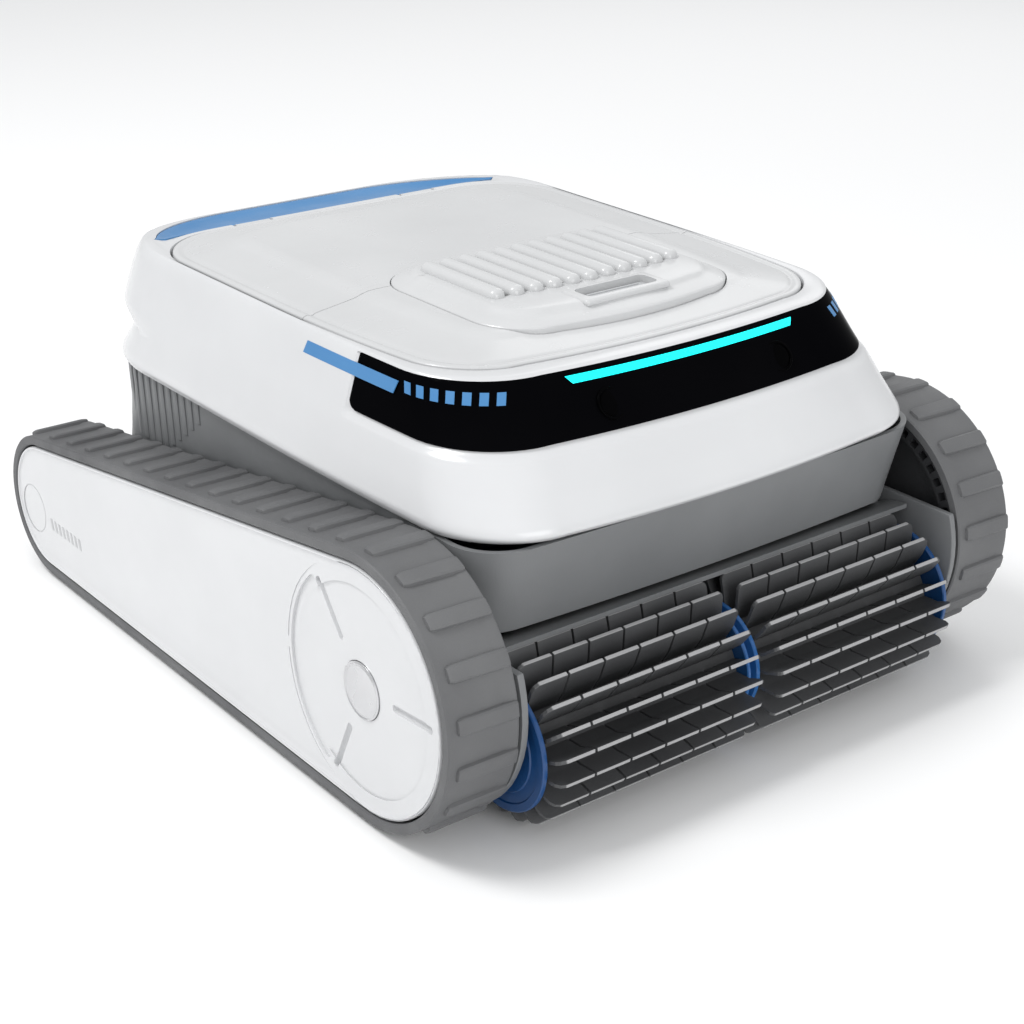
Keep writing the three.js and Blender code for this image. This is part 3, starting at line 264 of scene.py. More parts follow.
def finish(piece, material, body, angle=32, stands_for=()):
    """Gives a piece its material, smooth shading, body and the CAD nodes that it stands for."""
    piece.data.materials.clear()
    piece.data.materials.append(material)
    bpy.ops.object.select_all(action="DESELECT")
    piece.select_set(True)
    bpy.context.view_layer.objects.active = piece
    bpy.ops.object.transform_apply(location=True, rotation=True, scale=True)
    bpy.ops.object.shade_smooth_by_angle(angle=math.radians(angle))
    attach(piece, body)
    for node in stands_for:
        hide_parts(node)
    return piece


def block(x0, x1, y0, y1, z0, z1, name="block"):
    """A box between two corners, in millimetres."""
    bpy.ops.object.select_all(action="DESELECT")
    bpy.ops.mesh.primitive_cube_add(size=1, location=[(a + b) / 2 * MM for a, b in ((x0, x1), (y0, y1), (z0, z1))],
                                    scale=[abs(b - a) * MM for a, b in ((x0, x1), (y0, y1), (z0, z1))])
    piece = bpy.context.object
    piece.name = name
    bpy.ops.object.transform_apply(location=True, rotation=True, scale=True)
    return piece


def rod(radius, x0, x1, y, z, axis="X", vertices=96, end_radius=None, name="rod"):
    """A round bar along X, Y or Z, in millimetres. Its place is given across its axis, in order."""
    middle = (x0 + x1) / 2
    place = {"X": (middle, y, z), "Y": (y, middle, z), "Z": (y, z, middle)}[axis]
    turn = {"X": (0, math.pi / 2, 0), "Y": (-math.pi / 2, 0, 0), "Z": (0, 0, 0)}[axis]
    bpy.ops.object.select_all(action="DESELECT")
    bpy.ops.mesh.primitive_cone_add(vertices=vertices, radius1=radius * MM,
                                    radius2=(radius if end_radius is None else end_radius) * MM,
                                    depth=(x1 - x0) * MM, location=[p * MM for p in place], rotation=turn)
    piece = bpy.context.object
    piece.name = name
    bpy.ops.object.transform_apply(location=True, rotation=True, scale=True)
    return piece


# Rows: rounding, height above the lower edge, how far the side, front and rear stand in, rear corner radius.
SHELL_WALL = [
    (0, 9, 5, 8, 21, 68),
    (0.3, 1.2, 4.5, 8, 22, 70),
    (0.45, 0, 2.6, 5.6, 20.6, 71),
    (0.32, 5.5, 0, 0, 15, 75),
    (0, 20, 4.2, 11.2, 24.5, 75),
    (0, 23.2, 5.2, 13.4, 24.8, 78),
    (0.3, 33, 8, 20, 0.5, 84),
    (0.4, 43, 11.4, 27.6, -0.3, 85),
    (0.4, 54, 14.7, 35, 1, 85),
    (0.4, 65, 17.9, 42.6, 4.6, 85),
    (0.45, SHELL_TOP - SHELL_BOTTOM, 20.2, 47.5, 10, 85),
]
SHELL_CORNER = 50
wall = soften(SHELL_WALL + [(0, SHELL_TOP - SHELL_BOTTOM, 22.4, 53, 14, 85)])
crowded = [wall[0]]
for row in wall[1:]:
    last = crowded[-1]
    steps = max(1, round((row[0] - last[0]) / 1.6))
    crowded += [[a + (b - a) * i / steps for a, b in zip(last, row)] for i in range(1, steps + 1)]


def shell_outline(row, inset=0.0):
    rise, side, front, rear, corner = row
    return outline(SHELL_HALF - side - inset, SHELL_FRONT + front + inset, SHELL_REAR - rear - inset,
                   SHELL_CORNER - inset, corner - inset, bow=6, taper=0.04)


def rear_deck(y):
    """Height of the sloping deck behind the lid."""
    return SHELL_TOP - 11 * max(0, y - LID_REAR - 3) / 81


def ease(t):
    t = min(1, max(0, t))
    return t * t * (3 - 2 * t)


def shell_ring(row, inset=0.0, recess=2.4):
    """One level of the shell, pressed in where the front panel sits."""
    z = SHELL_BOTTOM + row[0]
    depth = recess * ease((z - PANEL_LOW + 3.4) / 3.2) * ease((PANEL_HIGH + 1.4 - z) / 1.2)
    outer = shell_outline(row, inset)
    inner = shell_outline(row, inset + depth)
    ring = []
    for (x, y), (u, v) in zip(outer, inner):
        share = ease((PANEL_REAR + 1.6 - y) / 3.2)
        ring.append((x + (u - x) * share, y + (v - y) * share))
    return [(x, y, min(z, rear_deck(y))) for x, y in round_ring(ring)]


def lid_outline(grow):
    return outline(LID_HALF + grow, LID_FRONT - grow, LID_REAR + grow, 40 + grow, 48 + grow, bow=7, taper=0.1)


rings = [shell_ring(row) for row in crowded]
for grow, z in (
    (2.4, SHELL_TOP + 0.2), (1.5, SHELL_TOP - 0.3), (1.2, SHELL_TOP - 1.4), (1.2, 213.8), (-14, 213.8), (-14, 205.8),
):
    ring = [(x, y, min(z, rear_deck(y) + (0 if z > 215 else 9))) for x, y in round_ring(lid_outline(grow))]
    rings.append(ring)
inside = [row for row in reversed(crowded) if row[0] < SHELL_TOP - SHELL_BOTTOM - 17]
rings += [[(x, y, SHELL_BOTTOM + row[0]) for x, y in round_ring(shell_outline(row, 3))] for row in inside[::3]]
WHITE = moulded("white_gloss_shell", (0.60, 0.605, 0.615), (0.65, 0.655, 0.665), 0.2, grain=0.02, coat=0.3)
shell = grid("upper_shell_moulding", rings, wrap=True, close=True)


def polygon_prism(name, outline_points, z0, z1):
    """An upright solid over a closed plan outline."""
    rings = [[(x, y, z) for x, y in outline_points] for z in (z0, z1)]
    return grid(name, rings, wrap=True, ends=True)


def handle_edges(grow=0.0):
    """Inner and outer edge of the crescent handle in plan, both from its right tip to its left tip."""
    tip = (123.5, 158.3 - grow)
    outer = [tip, (128.2 + grow, 163)]
    for i in range(25):
        a = math.radians(28 + 62 * i / 24)
        radius = 84.6 + grow
        outer.append((49.5 + radius * math.cos(a), 128.4 + radius * math.sin(a)))
    outer += [(49.5 * (1 - i / 8), 213 + grow) for i in range(1, 9)]
    inner = []
    for i in range(len(outer)):
        t = (i / (len(outer) - 1)) ** 1.25
        x = tip[0] * (1 - t)
        inner.append((x, 162.8 - grow - 4.5 * (x / tip[0]) ** 6))
    return [edge + [(-x, y) for x, y in edge[-2::-1]] for edge in (inner, outer)]


handle_inner, handle_outer = handle_edges(0.5)
handle_room = polygon_prism("handle_room", handle_inner + handle_outer[-2:0:-1], 203, 232)
hinge_rooms = [block(x - 14, x + 14, LID_REAR - 4, LID_REAR + 7.1, 214, SHELL_TOP + 5) for x in (-62, 62)]
button_room = rod(9.4, SHELL_REAR - 12, SHELL_REAR + 6, 34, SHELL_TOP - 25, axis="Y")
cap_room = block(-49.4, -18.6, SHELL_REAR - 4.2, SHELL_REAR + 8, SHELL_TOP - 35.4, SHELL_TOP - 11.3)
carve(shell, handle_room, *hinge_rooms, button_room, cap_room)
finish(shell, WHITE, "hull", stands_for=["upper_shell"])

# ---------------------------------------------------------------- rear carrying handle
# Blue moulded crescent let into the deck behind the lid, dished so that fingers hook under its edge.
# It is a separate colour shot, clipped into its recess with a fine gap all round.
BLUE = moulded("blue_moulding", (0.045, 0.19, 0.42), (0.07, 0.24, 0.5), 0.4, grain=0.06)
inner_edge, outer_edge = handle_edges()
rows = []
for share, sink in (
    (0, 0.5), (0.05, 0.35), (0.12, 0.9), (0.3, 2.6), (0.55, 3.6), (0.78, 3.2), (0.9, 1.6), (0.96, 0.6), (1, 0.7),
):
    row = []
    for (x0, y0), (x1, y1) in zip(inner_edge, outer_edge):
        x, y = x0 + (x1 - x0) * share, y0 + (y1 - y0) * share
        depth = 0.5 + (sink - 0.5) * min(1, math.hypot(x1 - x0, y1 - y0) / 30)
        row.append((x, y, rear_deck(y) - depth - 1.2))
    rows.append(row)
handle = grid("rear_carry_handle", rows)
modify(handle, "SOLIDIFY", thickness=0.0024, offset=0)
modify(handle, "BEVEL", width=0.0004, segments=2, limit_method="ANGLE", angle_limit=math.radians(50))
finish(handle, BLUE, "hull", stands_for=["rear_handle"])

# ---------------------------------------------------------------- black front panel with its light bar
# Smoked acrylic band let into the nose, with a paler sensor window, two round lenses and a cyan light bar.
# The blue marks are thin inlays in it and in the white shell beside it.
rising = crowded[min(range(len(crowded)), key=lambda i: crowded[i][0]):]


def shell_row(z):
    """The shell's profile row at a height."""
    rise = z - SHELL_BOTTOM
    for low, high in zip(rising, rising[1:]):
        if low[0] <= rise <= high[0] and high[0] > low[0]:
            share = (rise - low[0]) / (high[0] - low[0])
            return [a + (b - a) * share for a, b in zip(low, high)]
    return rising[-1]


def on_shell(reach, z, inset=0.0):
    """The point a given way round the nose from its middle, at a height, set in from the shell's face."""
    edge = shell_outline(shell_row(z), inset)
    left = abs(reach)
    for (x0, y0), (x1, y1) in zip(edge, edge[1:]):
        step = math.hypot(x1 - x0, y1 - y0)
        if left <= step:
            share = left / step
            x, y = x0 + (x1 - x0) * share, y0 + (y1 - y0) * share
            return (math.copysign(x, reach) if reach else 0, y, z)
        left -= step
    return (math.copysign(edge[-1][0], reach), edge[-1][1], z)


def reach_to(y_target, z):
    """How far round the nose the shell's side is at a given Y."""
    edge = shell_outline(shell_row(z))
    total = 0
    for (x0, y0), (x1, y1) in zip(edge, edge[1:]):
        step = math.hypot(x1 - x0, y1 - y0)
        if y1 >= y_target and x1 > SHELL_HALF / 2:
            return total + step * (y_target - y0) / (y1 - y0)
        total += step
    return total


def skin(name, z0, z1, ends, inset, thickness, across=40, rows=12):
    """A thin band that follows the shell between two heights. ends gives its two ends at a height."""
    sheet = []
    for j in range(rows + 1):
        z = z0 + (z1 - z0) * j / rows
        start, stop = ends(z)
        sheet.append([on_shell(start + (stop - start) * i / across, z, inset) for i in range(across + 1)])
    piece = grid(name, sheet)
    return modify(piece, "SOLIDIFY", thickness=thickness * MM, offset=0)


BLACK = moulded("smoked_acrylic", (0.0015, 0.0015, 0.002), (0.0025, 0.0025, 0.003), 0.1, grain=0.008)
BLACK.node_tree.nodes["Principled BSDF"].inputs["Specular IOR Level"].default_value = 0.04
BLACK.node_tree.nodes["Principled BSDF"].inputs["IOR"].default_value = 1.12
panel_low = PANEL_LOW + 0.8
panel_high = PANEL_HIGH + 0.7


def panel_ends(z):
    corner = 8
    lift = min(corner, z - panel_low)
    shrink = corner - math.sqrt(max(0, corner ** 2 - (corner - lift) ** 2))
    reach = reach_to(PANEL_REAR - 1.6, z) - shrink
    return -reach, reach


panel = skin("front_panel_glass", panel_low, panel_high, panel_ends, 1.9, 1.6, across=180, rows=34)
modify(panel, "BEVEL", width=0.0003, segments=2, limit_method="ANGLE", angle_limit=math.radians(50))
finish(panel, BLACK, "hull", stands_for=["front_panel"])

SMOKE = moulded("sensor_window", (0.0065, 0.0065, 0.0075), (0.01, 0.01, 0.011), 0.16, grain=0.01)
SMOKE.node_tree.nodes["Principled BSDF"].inputs["Specular IOR Level"].default_value = 0.04
SMOKE.node_tree.nodes["Principled BSDF"].inputs["IOR"].default_value = 1.12


def window_ends(z):
    corner = 9
    lift = min(corner, z - PANEL_LOW - 4)
    shrink = corner - math.sqrt(max(0, corner ** 2 - (corner - lift) ** 2))
    reach = 74 + (z - PANEL_LOW) * 0.35 - shrink
    return -reach, reach


window = skin("sensor_window_pane", PANEL_LOW + 4, PANEL_LOW + 23, window_ends, 1.08, 0.16, across=90, rows=24)
finish(window, SMOKE, "hull")

def joined(pieces, name):
    """Several pieces as one object, under one name."""
    bpy.ops.object.select_all(action="DESELECT")
    for piece in pieces:
        piece.select_set(True)
    bpy.context.view_layer.objects.active = pieces[0]
    bpy.ops.object.join()
    pieces[0].name = name
    return pieces[0]


LENS_RIM = moulded("lens_rim", (0.0008, 0.0008, 0.001), (0.0014, 0.0014, 0.0016), 0.25, grain=0.05)
LENS_RIM.node_tree.nodes["Principled BSDF"].inputs["Specular IOR Level"].default_value = 0.05
LENS_RIM.node_tree.nodes["Principled BSDF"].inputs["IOR"].default_value = 1.2
for side, word in ((1, "right"), (-1, "left")):
    low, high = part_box(f"lens_{word}")
    x, z = (low.x + high.x) / 2 / MM, (low.z + high.z) / 2 / MM
    before, after = on_shell(x, z - 2, 1), on_shell(x, z + 2, 1)
    lean = math.atan2(after[1] - before[1], 4)
    y = on_shell(x, z, 1)[1]
    bpy.ops.object.select_all(action="DESELECT")
    bpy.ops.mesh.primitive_torus_add(major_segments=96, minor_segments=16, major_radius=0.0081, minor_radius=0.00075)
    ring = bpy.context.object
    bpy.ops.mesh.primitive_uv_sphere_add(segments=64, ring_count=24, radius=0.0068)
    dome = bpy.context.object
    dome.scale = (1, 1, 0.09)
    joined([ring, dome], f"lens_rim_{word}")
    ring.rotation_euler = (math.pi / 2 - lean, 0, math.radians(-side * 5))
    ring.location = (x * MM, (y + 0.1) * MM, z * MM)
    finish(ring, LENS_RIM, "hull", stands_for=[f"lens_{word}"])

led_low, led_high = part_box("led_bar")
CYAN = moulded("cyan_light_guide", (0.0, 0.70, 0.72), (0.0, 0.80, 0.80), 0.3, grain=0.02)
cyan_shader = CYAN.node_tree.nodes["Principled BSDF"]
cyan_shader.inputs["Emission Color"].default_value = (0.0, 1.0, 1.0, 1)
cyan_shader.inputs["Emission Strength"].default_value = 0.9
led_reach = led_high.x / MM + 1
led_z = led_low.z / MM


def led_ends(z):
    slant = (z - led_z) * 0.9
    return -led_reach - slant + 2, led_reach + slant - 2


led = skin("light_bar", led_z, led_high.z / MM, led_ends, 0.95, 0.5, across=80, rows=4)
modify(led, "BEVEL", width=0.0001, segments=2, limit_method="ANGLE", angle_limit=math.radians(50))
finish(led, CYAN, "hull", stands_for=["led_bar"])

for side, word in ((1, "right"), (-1, "left")):
    def bar_ends(z):
        slant = (z - 208) * 0.3
        return side * (reach_to(-36, z) - slant), side * (reach_to(-116, z) - slant)

    bar = skin(f"blue_bar_{word}", 207.6, 214.2, bar_ends, 0.15, 0.5, across=40, rows=5)
    finish(bar, BLUE, "hull")
    marks = []
    for i in range(7):
        start = reach_to(-121, 212) - 0.5 - i * 8.5

        def dash_ends(z):
            reach = start - (z - 208) * 0.55
            return side * reach, side * (reach - 4.6)

        marks.append(skin(f"blue_dash_{word}_{i + 1}", 209.6, 215, dash_ends, 0.95, 0.3, across=3, rows=4))
    finish(joined(marks, f"blue_dashes_{word}"), BLUE, "hull")

# ---------------------------------------------------------------- lid
# White moulded lid in two halves over the filter: a rolled rim, a wide soft shoulder and a flat deck.
# Its rear half turns on two hinge arms, and its seam runs across just behind the outlet.
WHITE_LID = moulded("white_gloss_lid", (0.54, 0.545, 0.55), (0.60, 0.605, 0.61), 0.24, grain=0.02, coat=0.25)
LID_BASE = SHELL_TOP - 6.6
LID_DECK = 228.2
SEAM = -22
# Rows: rounding, how far the edge stands in, height.
LID_WALL = [
    (0, 0, LID_BASE),
    (0, 0, 219.4),
    (0.5, 0.2, 221.2),
    (0.4, 2.6, 221.9),
    (0.3, 4.4, 221.5),
    (0.3, 6, 221.1),
    (0.3, 8.4, 222.2),
    (0.3, 20, 223.8),
    (0.35, 33, 225.6),
    (0.4, 38, 227.2),
    (0.45, 43, LID_DECK),
    (0, 50, LID_DECK),
    (0, 60, LID_DECK),
]


def inset_lid(inset, z):
    edge = outline(LID_HALF - inset, LID_FRONT + inset * 0.8, LID_REAR - inset * 0.8,
                   max(14, 40 - inset * 0.5), max(16, 48 - inset * 0.5), bow=max(2, 7 - inset * 0.1), taper=0.1)
    return [(x, y, z) for x, y in round_ring(edge)]


profile = soften(LID_WALL)
under = [(inset, z - 2.6) for inset, z in profile if 3 < inset]
lid_rings = [inset_lid(inset, z) for inset, z in reversed(under)]
lid_rings += [inset_lid(3, LID_BASE)] + [inset_lid(inset, z) for inset, z in profile]
lid = grid("lid_moulding", lid_rings, wrap=True, ends=True)
plate_low, plate_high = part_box("outlet_plate")
PLATE_HALF = plate_high.x / MM
PLATE_FRONT = plate_low.y / MM
PLATE_REAR = plate_high.y / MM


def plate_outline(inset, z):
    edge = outline(PLATE_HALF - inset, PLATE_FRONT + inset, PLATE_REAR - inset * 0.8,
                   max(8, 32 - inset * 0.7), max(8, 30 - inset * 0.7), bow=5, rear_bow=2)
    return [(x, y, z) for x, y in round_ring(edge)]


plate_room = grid("plate_room", [plate_outline(-0.6, z) for z in (205, 235)], wrap=True, ends=True)
arms = []
for x in (-62, 62):
    arms.append(block(x - 12, x + 12, LID_REAR - 5, 159.5, 216.4, 220.6))
    arms.append(rod(2.6, x - 12, x + 12, 159.5, 218.4, vertices=32))
carve(lid, plate_room)
carve(lid, *arms, how="UNION")
lid_halves = {}
for word, y0, y1 in (("front", -300, SEAM - 0.25), ("rear", SEAM + 0.25, 300)):
    bpy.ops.object.select_all(action="DESELECT")
    lid.select_set(True)
    bpy.context.view_layer.objects.active = lid
    bpy.ops.object.duplicate()
    half = bpy.context.object
    half.name = f"lid_{word}_moulding"
    carve(half, block(-300, 300, y0, y1, 150, 260), how="INTERSECT")
    lid_halves[word] = finish(half, WHITE_LID, "lid", angle=40, stands_for=[f"lid_{word}"])
bpy.data.objects.remove(lid)

# ---------------------------------------------------------------- outlet plate and latch
# Raised white plate over the pump outlet: eleven rounded ribs with the water vents between them.
# A grey tab slides in a rimmed slot in front of the ribs and frees the lid.
GREY_LATCH = moulded("latch_grey", (0.46, 0.47, 0.48), (0.54, 0.55, 0.56), 0.36, grain=0.1)
INNER_GREY = moulded("inner_grey", (0.10, 0.103, 0.106), (0.14, 0.143, 0.147), 0.5, grain=0.2)
# Rows: rounding, how far the edge stands in, height.
PLATE_WALL = [
    (0, 26, 218.6),
    (0, 24, 218.6),
    (0, 3, 218.6),
    (0, 0, 221.4),
    (0, 0, 227.4),
    (0.5, 0, 228.8),
    (0.4, 3.2, 230.2),
    (0.35, 9, 232),
    (0.4, 12.4, 234.6),
    (0, 16, 235),
    (0, 24, 235),
]
plate_rings = [plate_outline(inset, z) for inset, z in soften(PLATE_WALL)]
plate = grid("outlet_plate_moulding", plate_rings, wrap=True, ends=True)
slot_room = block(-24.6, 24.6, -122.4, -107.4, 228.4, 240)
modify(slot_room, "BEVEL", width=0.004, segments=6, limit_method="ANGLE", angle_limit=math.radians(60))
slot_rim = block(-29.5, 29.5, -126.4, -103.4, 232, 236.2)
modify(slot_rim, "BEVEL", width=0.0036, segments=5, limit_method="ANGLE", angle_limit=math.radians(60))
RIB_PITCH = 12.25
vents = []
ribs = []
for i in range(11):
    x = (i - 5) * RIB_PITCH
    lead = 3.5 * (x / 61) ** 2
    front, rear = -97 + lead, -25
    rib = block(x - 4.9, x + 4.9, front, rear, 231, 239.6)
    modify(rib, "BEVEL", width=0.0042, segments=6, limit_method="ANGLE", angle_limit=math.radians(60))
    ribs.append(rib)
for i in range(10):
    x = (i - 4.5) * RIB_PITCH
    vent = block(x - 2.3, x + 2.3, -92, -31, 210, 236)
    modify(vent, "BEVEL", width=0.0018, segments=3, limit_method="ANGLE", angle_limit=math.radians(60))
    vents.append(vent)
carve(plate, slot_rim, how="UNION")
carve(plate, slot_room, *vents)
joined([plate, *ribs], "outlet_plate_moulding")
finish(plate, WHITE_LID, "lid", angle=38, stands_for=["outlet_plate"])

tab = block(-23.6, 23.6, -121.2, -108.8, 228.5, 232.8)
tab.name = "latch_tab_moulding"
modify(tab, "BEVEL", width=0.0012, segments=4, limit_method="ANGLE", angle_limit=math.radians(60))
grips = [rod(0.7, -18, 18, y, 232.9, vertices=16) for y in (-118, -115, -112)]
carve(tab, *grips, how="UNION")
finish(tab, GREY_LATCH, "latch", stands_for=["latch_tab"])

# ---------------------------------------------------------------- grey lower tub and front scoop
# The matt grey chassis between the tracks: one deep moulding with a curved bay for the brush.
# The scoop is a separate lip screwed under the shell's nose, and a skirt closes the joint above it.
TUB_GREY = moulded("tub_grey", (0.14, 0.145, 0.15), (0.18, 0.185, 0.19), 0.42, grain=0.25, coat=0.05)
SCOOP_GREY = moulded("scoop_grey", (0.2, 0.205, 0.21), (0.25, 0.255, 0.26), 0.4, grain=0.25, coat=0.05)
brush_low, brush_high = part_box("brush_sleeve_right")
BRUSH_Z = (brush_low.z + brush_high.z) / 2 / MM
BRUSH_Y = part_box("brush_ring")[0].y / MM / 2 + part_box("brush_ring")[1].y / MM / 2
TUB_HALF = 155.5
# Rows: rounding, height, half width, front, rear.
TUB_WALL = [
    (0, 22, 139.5, -186, 190),
    (0.4, 24, 147, -188, 199),
    (0.4, 34, 152.5, -190, 206.4),
    (0.3, 72, 154.5, -192, 210),
    (0.3, 92.5, TUB_HALF, -194, 206),
    (0.3, 102.5, TUB_HALF, -197, 203.8),
    (0.3, 112, TUB_HALF + 0.2, -199.2, 202),
    (0, 150.6, TUB_HALF + 1.5, -209, 194),
]


def tub_ring(row, inset=0.0):
    z, half, front, rear = row
    edge = outline(half - inset, front + inset, rear - inset, 30 - inset, 60 - inset, bow=3)
    return [(x, y, z) for x, y in round_ring(edge)]


tub_rows = soften(TUB_WALL)
tub_rings = [tub_ring(row) for row in tub_rows]
tub_rings += [tub_ring(row, 3.2) for row in reversed(tub_rows) if row[0] > 26]
tub_rings += [tub_ring((25.2, 147, -188, 199), 3.2), tub_ring((25.2, 60, -100, 100), 3.2)]
floor_rings = [tub_ring((22, 60, -100, 100), 3.2)]
tub = grid("chassis_tub_moulding", floor_rings + tub_rings, wrap=True, ends=True)
bay = rod(49.5, -200, 200, BRUSH_Y, BRUSH_Z, vertices=128)
bay_front = block(-200, 200, -260, BRUSH_Y + 20, -5, 102.1)
under_bay = block(-200, 200, -260, BRUSH_Y + 46, -5, BRUSH_Z)
bracket_rooms = [block(x, x + 60, -260, -136.8, -5, 102.1) for x in (152.2, -212.2)]
axle_holes = rod(7.5, -200, 200, 200, 49, vertices=48)
intake_hole = block(-64, 64, -44, -14, 10, 40)
carve(tub, bay_front, bay, under_bay, *bracket_rooms, axle_holes, intake_hole)
bay_wall = []
for i in range(25):
    a = math.radians(88 - 100 * i / 24)
    bay_wall.append([(x, BRUSH_Y + 49.6 * math.cos(a), BRUSH_Z + 49.6 * math.sin(a)) for x in (-151, -75, 0, 75, 151)])
bay_sheet = grid("brush_bay_wall", bay_wall)
modify(bay_sheet, "SOLIDIFY", thickness=0.0026, offset=-1)
pleats = []
for side in (1, -1):
    for i in range(14):
        y = 180 - i * 8.5
        step = math.sqrt(max(0, 3600 - max(0, y - 137) ** 2))
        x = TUB_HALF + 1.2 - 60 + step
        nx, ny = step / 60, max(0, y - 137) / 60
        rows = []
        low = 105 + max(0, i - 8) * 6
        for z, high in ((low, -0.8), (low + 1.5, 1.2), (147, 1.2), (149.6, 0.9)):
            face = x - 0.04 * (147 - z)
            rows.append([(side * (face + nx * out - ny * t), y + ny * out + nx * t, z) for t, out in (
                (-2.8, -2.6), (-2.4, high * 0.6), (-1.6, high), (1.6, high), (2.4, high * 0.6), (2.8, -2.6))])
        pleats.append(grid(f"pleat_{i}", rows, wrap=True, ends=True))
joined([tub, bay_sheet, *pleats], "chassis_tub_moulding")
finish(tub, TUB_GREY, "hull", stands_for=["chassis_tub"])

scoop_low, scoop_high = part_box("front_scoop")
SCOOP_TOP = scoop_high.z / MM
SCOOP_LOW = scoop_low.z / MM
# Rows: height, half width, front.
SCOOP_FACE = [
    (SCOOP_TOP, 119, -206.9),
    (SCOOP_TOP - 0.8, 121, -207.6),
    (139, 123.6, -205.9),
    (128, 126.8, -202.4),
    (118, 130, -198.4),
    (115, 131, -197),
    (113.4, 131.6, -195.6),
    (108, 133.2, -194.2),
    (SCOOP_LOW + 0.8, 134.6, -193.2),
    (SCOOP_LOW, 134, -191.8),
]
scoop_rows = []
for z, half, front in SCOOP_FACE:
    row = []
    for i in range(61):
        x = -half + 2 * half * i / 60
        edge = max(0, abs(x) / half - 0.9) / 0.1
        row.append((x, front + 3 * (x / half) ** 2 + 1.8 * edge ** 2, z))
    scoop_rows.append(row)
scoop = grid("front_scoop_moulding", scoop_rows)
modify(scoop, "SOLIDIFY", thickness=0.0022, offset=-1)
modify(scoop, "BEVEL", width=0.0004, segments=2, limit_method="ANGLE", angle_limit=math.radians(50))
finish(scoop, SCOOP_GREY, "hull", stands_for=["front_scoop"])

SKIRT_GREY = moulded("skirt_grey", (0.27, 0.275, 0.28), (0.33, 0.335, 0.34), 0.4, grain=0.2)
bottom_row = shell_row(SHELL_BOTTOM + 0.01)
skirt_rings = []
for inset, z in ((1.2, 151.3), (1.2, 150.7), (4, 148.2), (9, 146.6), (13, 146.6), (13, 151.3)):
    skirt_rings.append([(x, y, z) for x, y in round_ring(shell_outline(bottom_row, inset))])
skirt = grid("shell_skirt", skirt_rings, wrap=True, close=True)
finish(skirt, SKIRT_GREY, "hull", angle=40)

# ---------------------------------------------------------------- drive belts
# Moulded rubber tracks with raised transverse lugs, driven by teeth on the wheels inside them.
# Each lug tapers towards the outer edge, where a smooth band runs all the way round.
RUBBER = moulded("belt_rubber", (0.085, 0.086, 0.09), (0.135, 0.137, 0.14), 0.55, grain=0.45, scale=900, coat=0)
FRONT_Y, FRONT_Z, REAR_Y, REAR_Z = -161.2, 77, 200, 49
FRONT_R, REAR_R = 68.6, 40.6
BELT_X0, BELT_X1 = 158.5, 200


def track_loop(out, steps=46):
    """The belt's loop, a given way outside the wheels' running line, as (y, z, normal y, normal z)."""
    span = math.hypot(REAR_Y - FRONT_Y, REAR_Z - FRONT_Z)
    tilt = math.atan2(REAR_Z - FRONT_Z, REAR_Y - FRONT_Y)
    spread = math.acos((FRONT_R - REAR_R) / span)
    points = []
    for y, z, radius, start, end in (
        (REAR_Y, REAR_Z, REAR_R, tilt - spread, tilt + spread),
        (FRONT_Y, FRONT_Z, FRONT_R, tilt + spread, tilt - spread + 2 * math.pi),
    ):
        for i in range(steps + 1):
            a = start + (end - start) * i / steps
            ny, nz = math.cos(a), math.sin(a)
            points.append((y + (radius + out) * ny, z + (radius + out) * nz, ny, nz))
    return points


def loop_lengths(points):
    total = [0]
    for (y0, z0, *_), (y1, z1, *_) in zip(points, points[1:] + points[:1]):
        total.append(total[-1] + math.hypot(y1 - y0, z1 - z0))
    return total


def along(points, lengths, distance):
    """The place and outward normal at a distance round a loop."""
    distance %= lengths[-1]
    for i, (low, high) in enumerate(zip(lengths, lengths[1:])):
        if low <= distance <= high:
            share = (distance - low) / (high - low)
            start, end = points[i], points[(i + 1) % len(points)]
            y, z, ny, nz = (a + (b - a) * share for a, b in zip(start, end))
            size = math.hypot(ny, nz)
            return y, z, ny / size, nz / size
    return points[0]


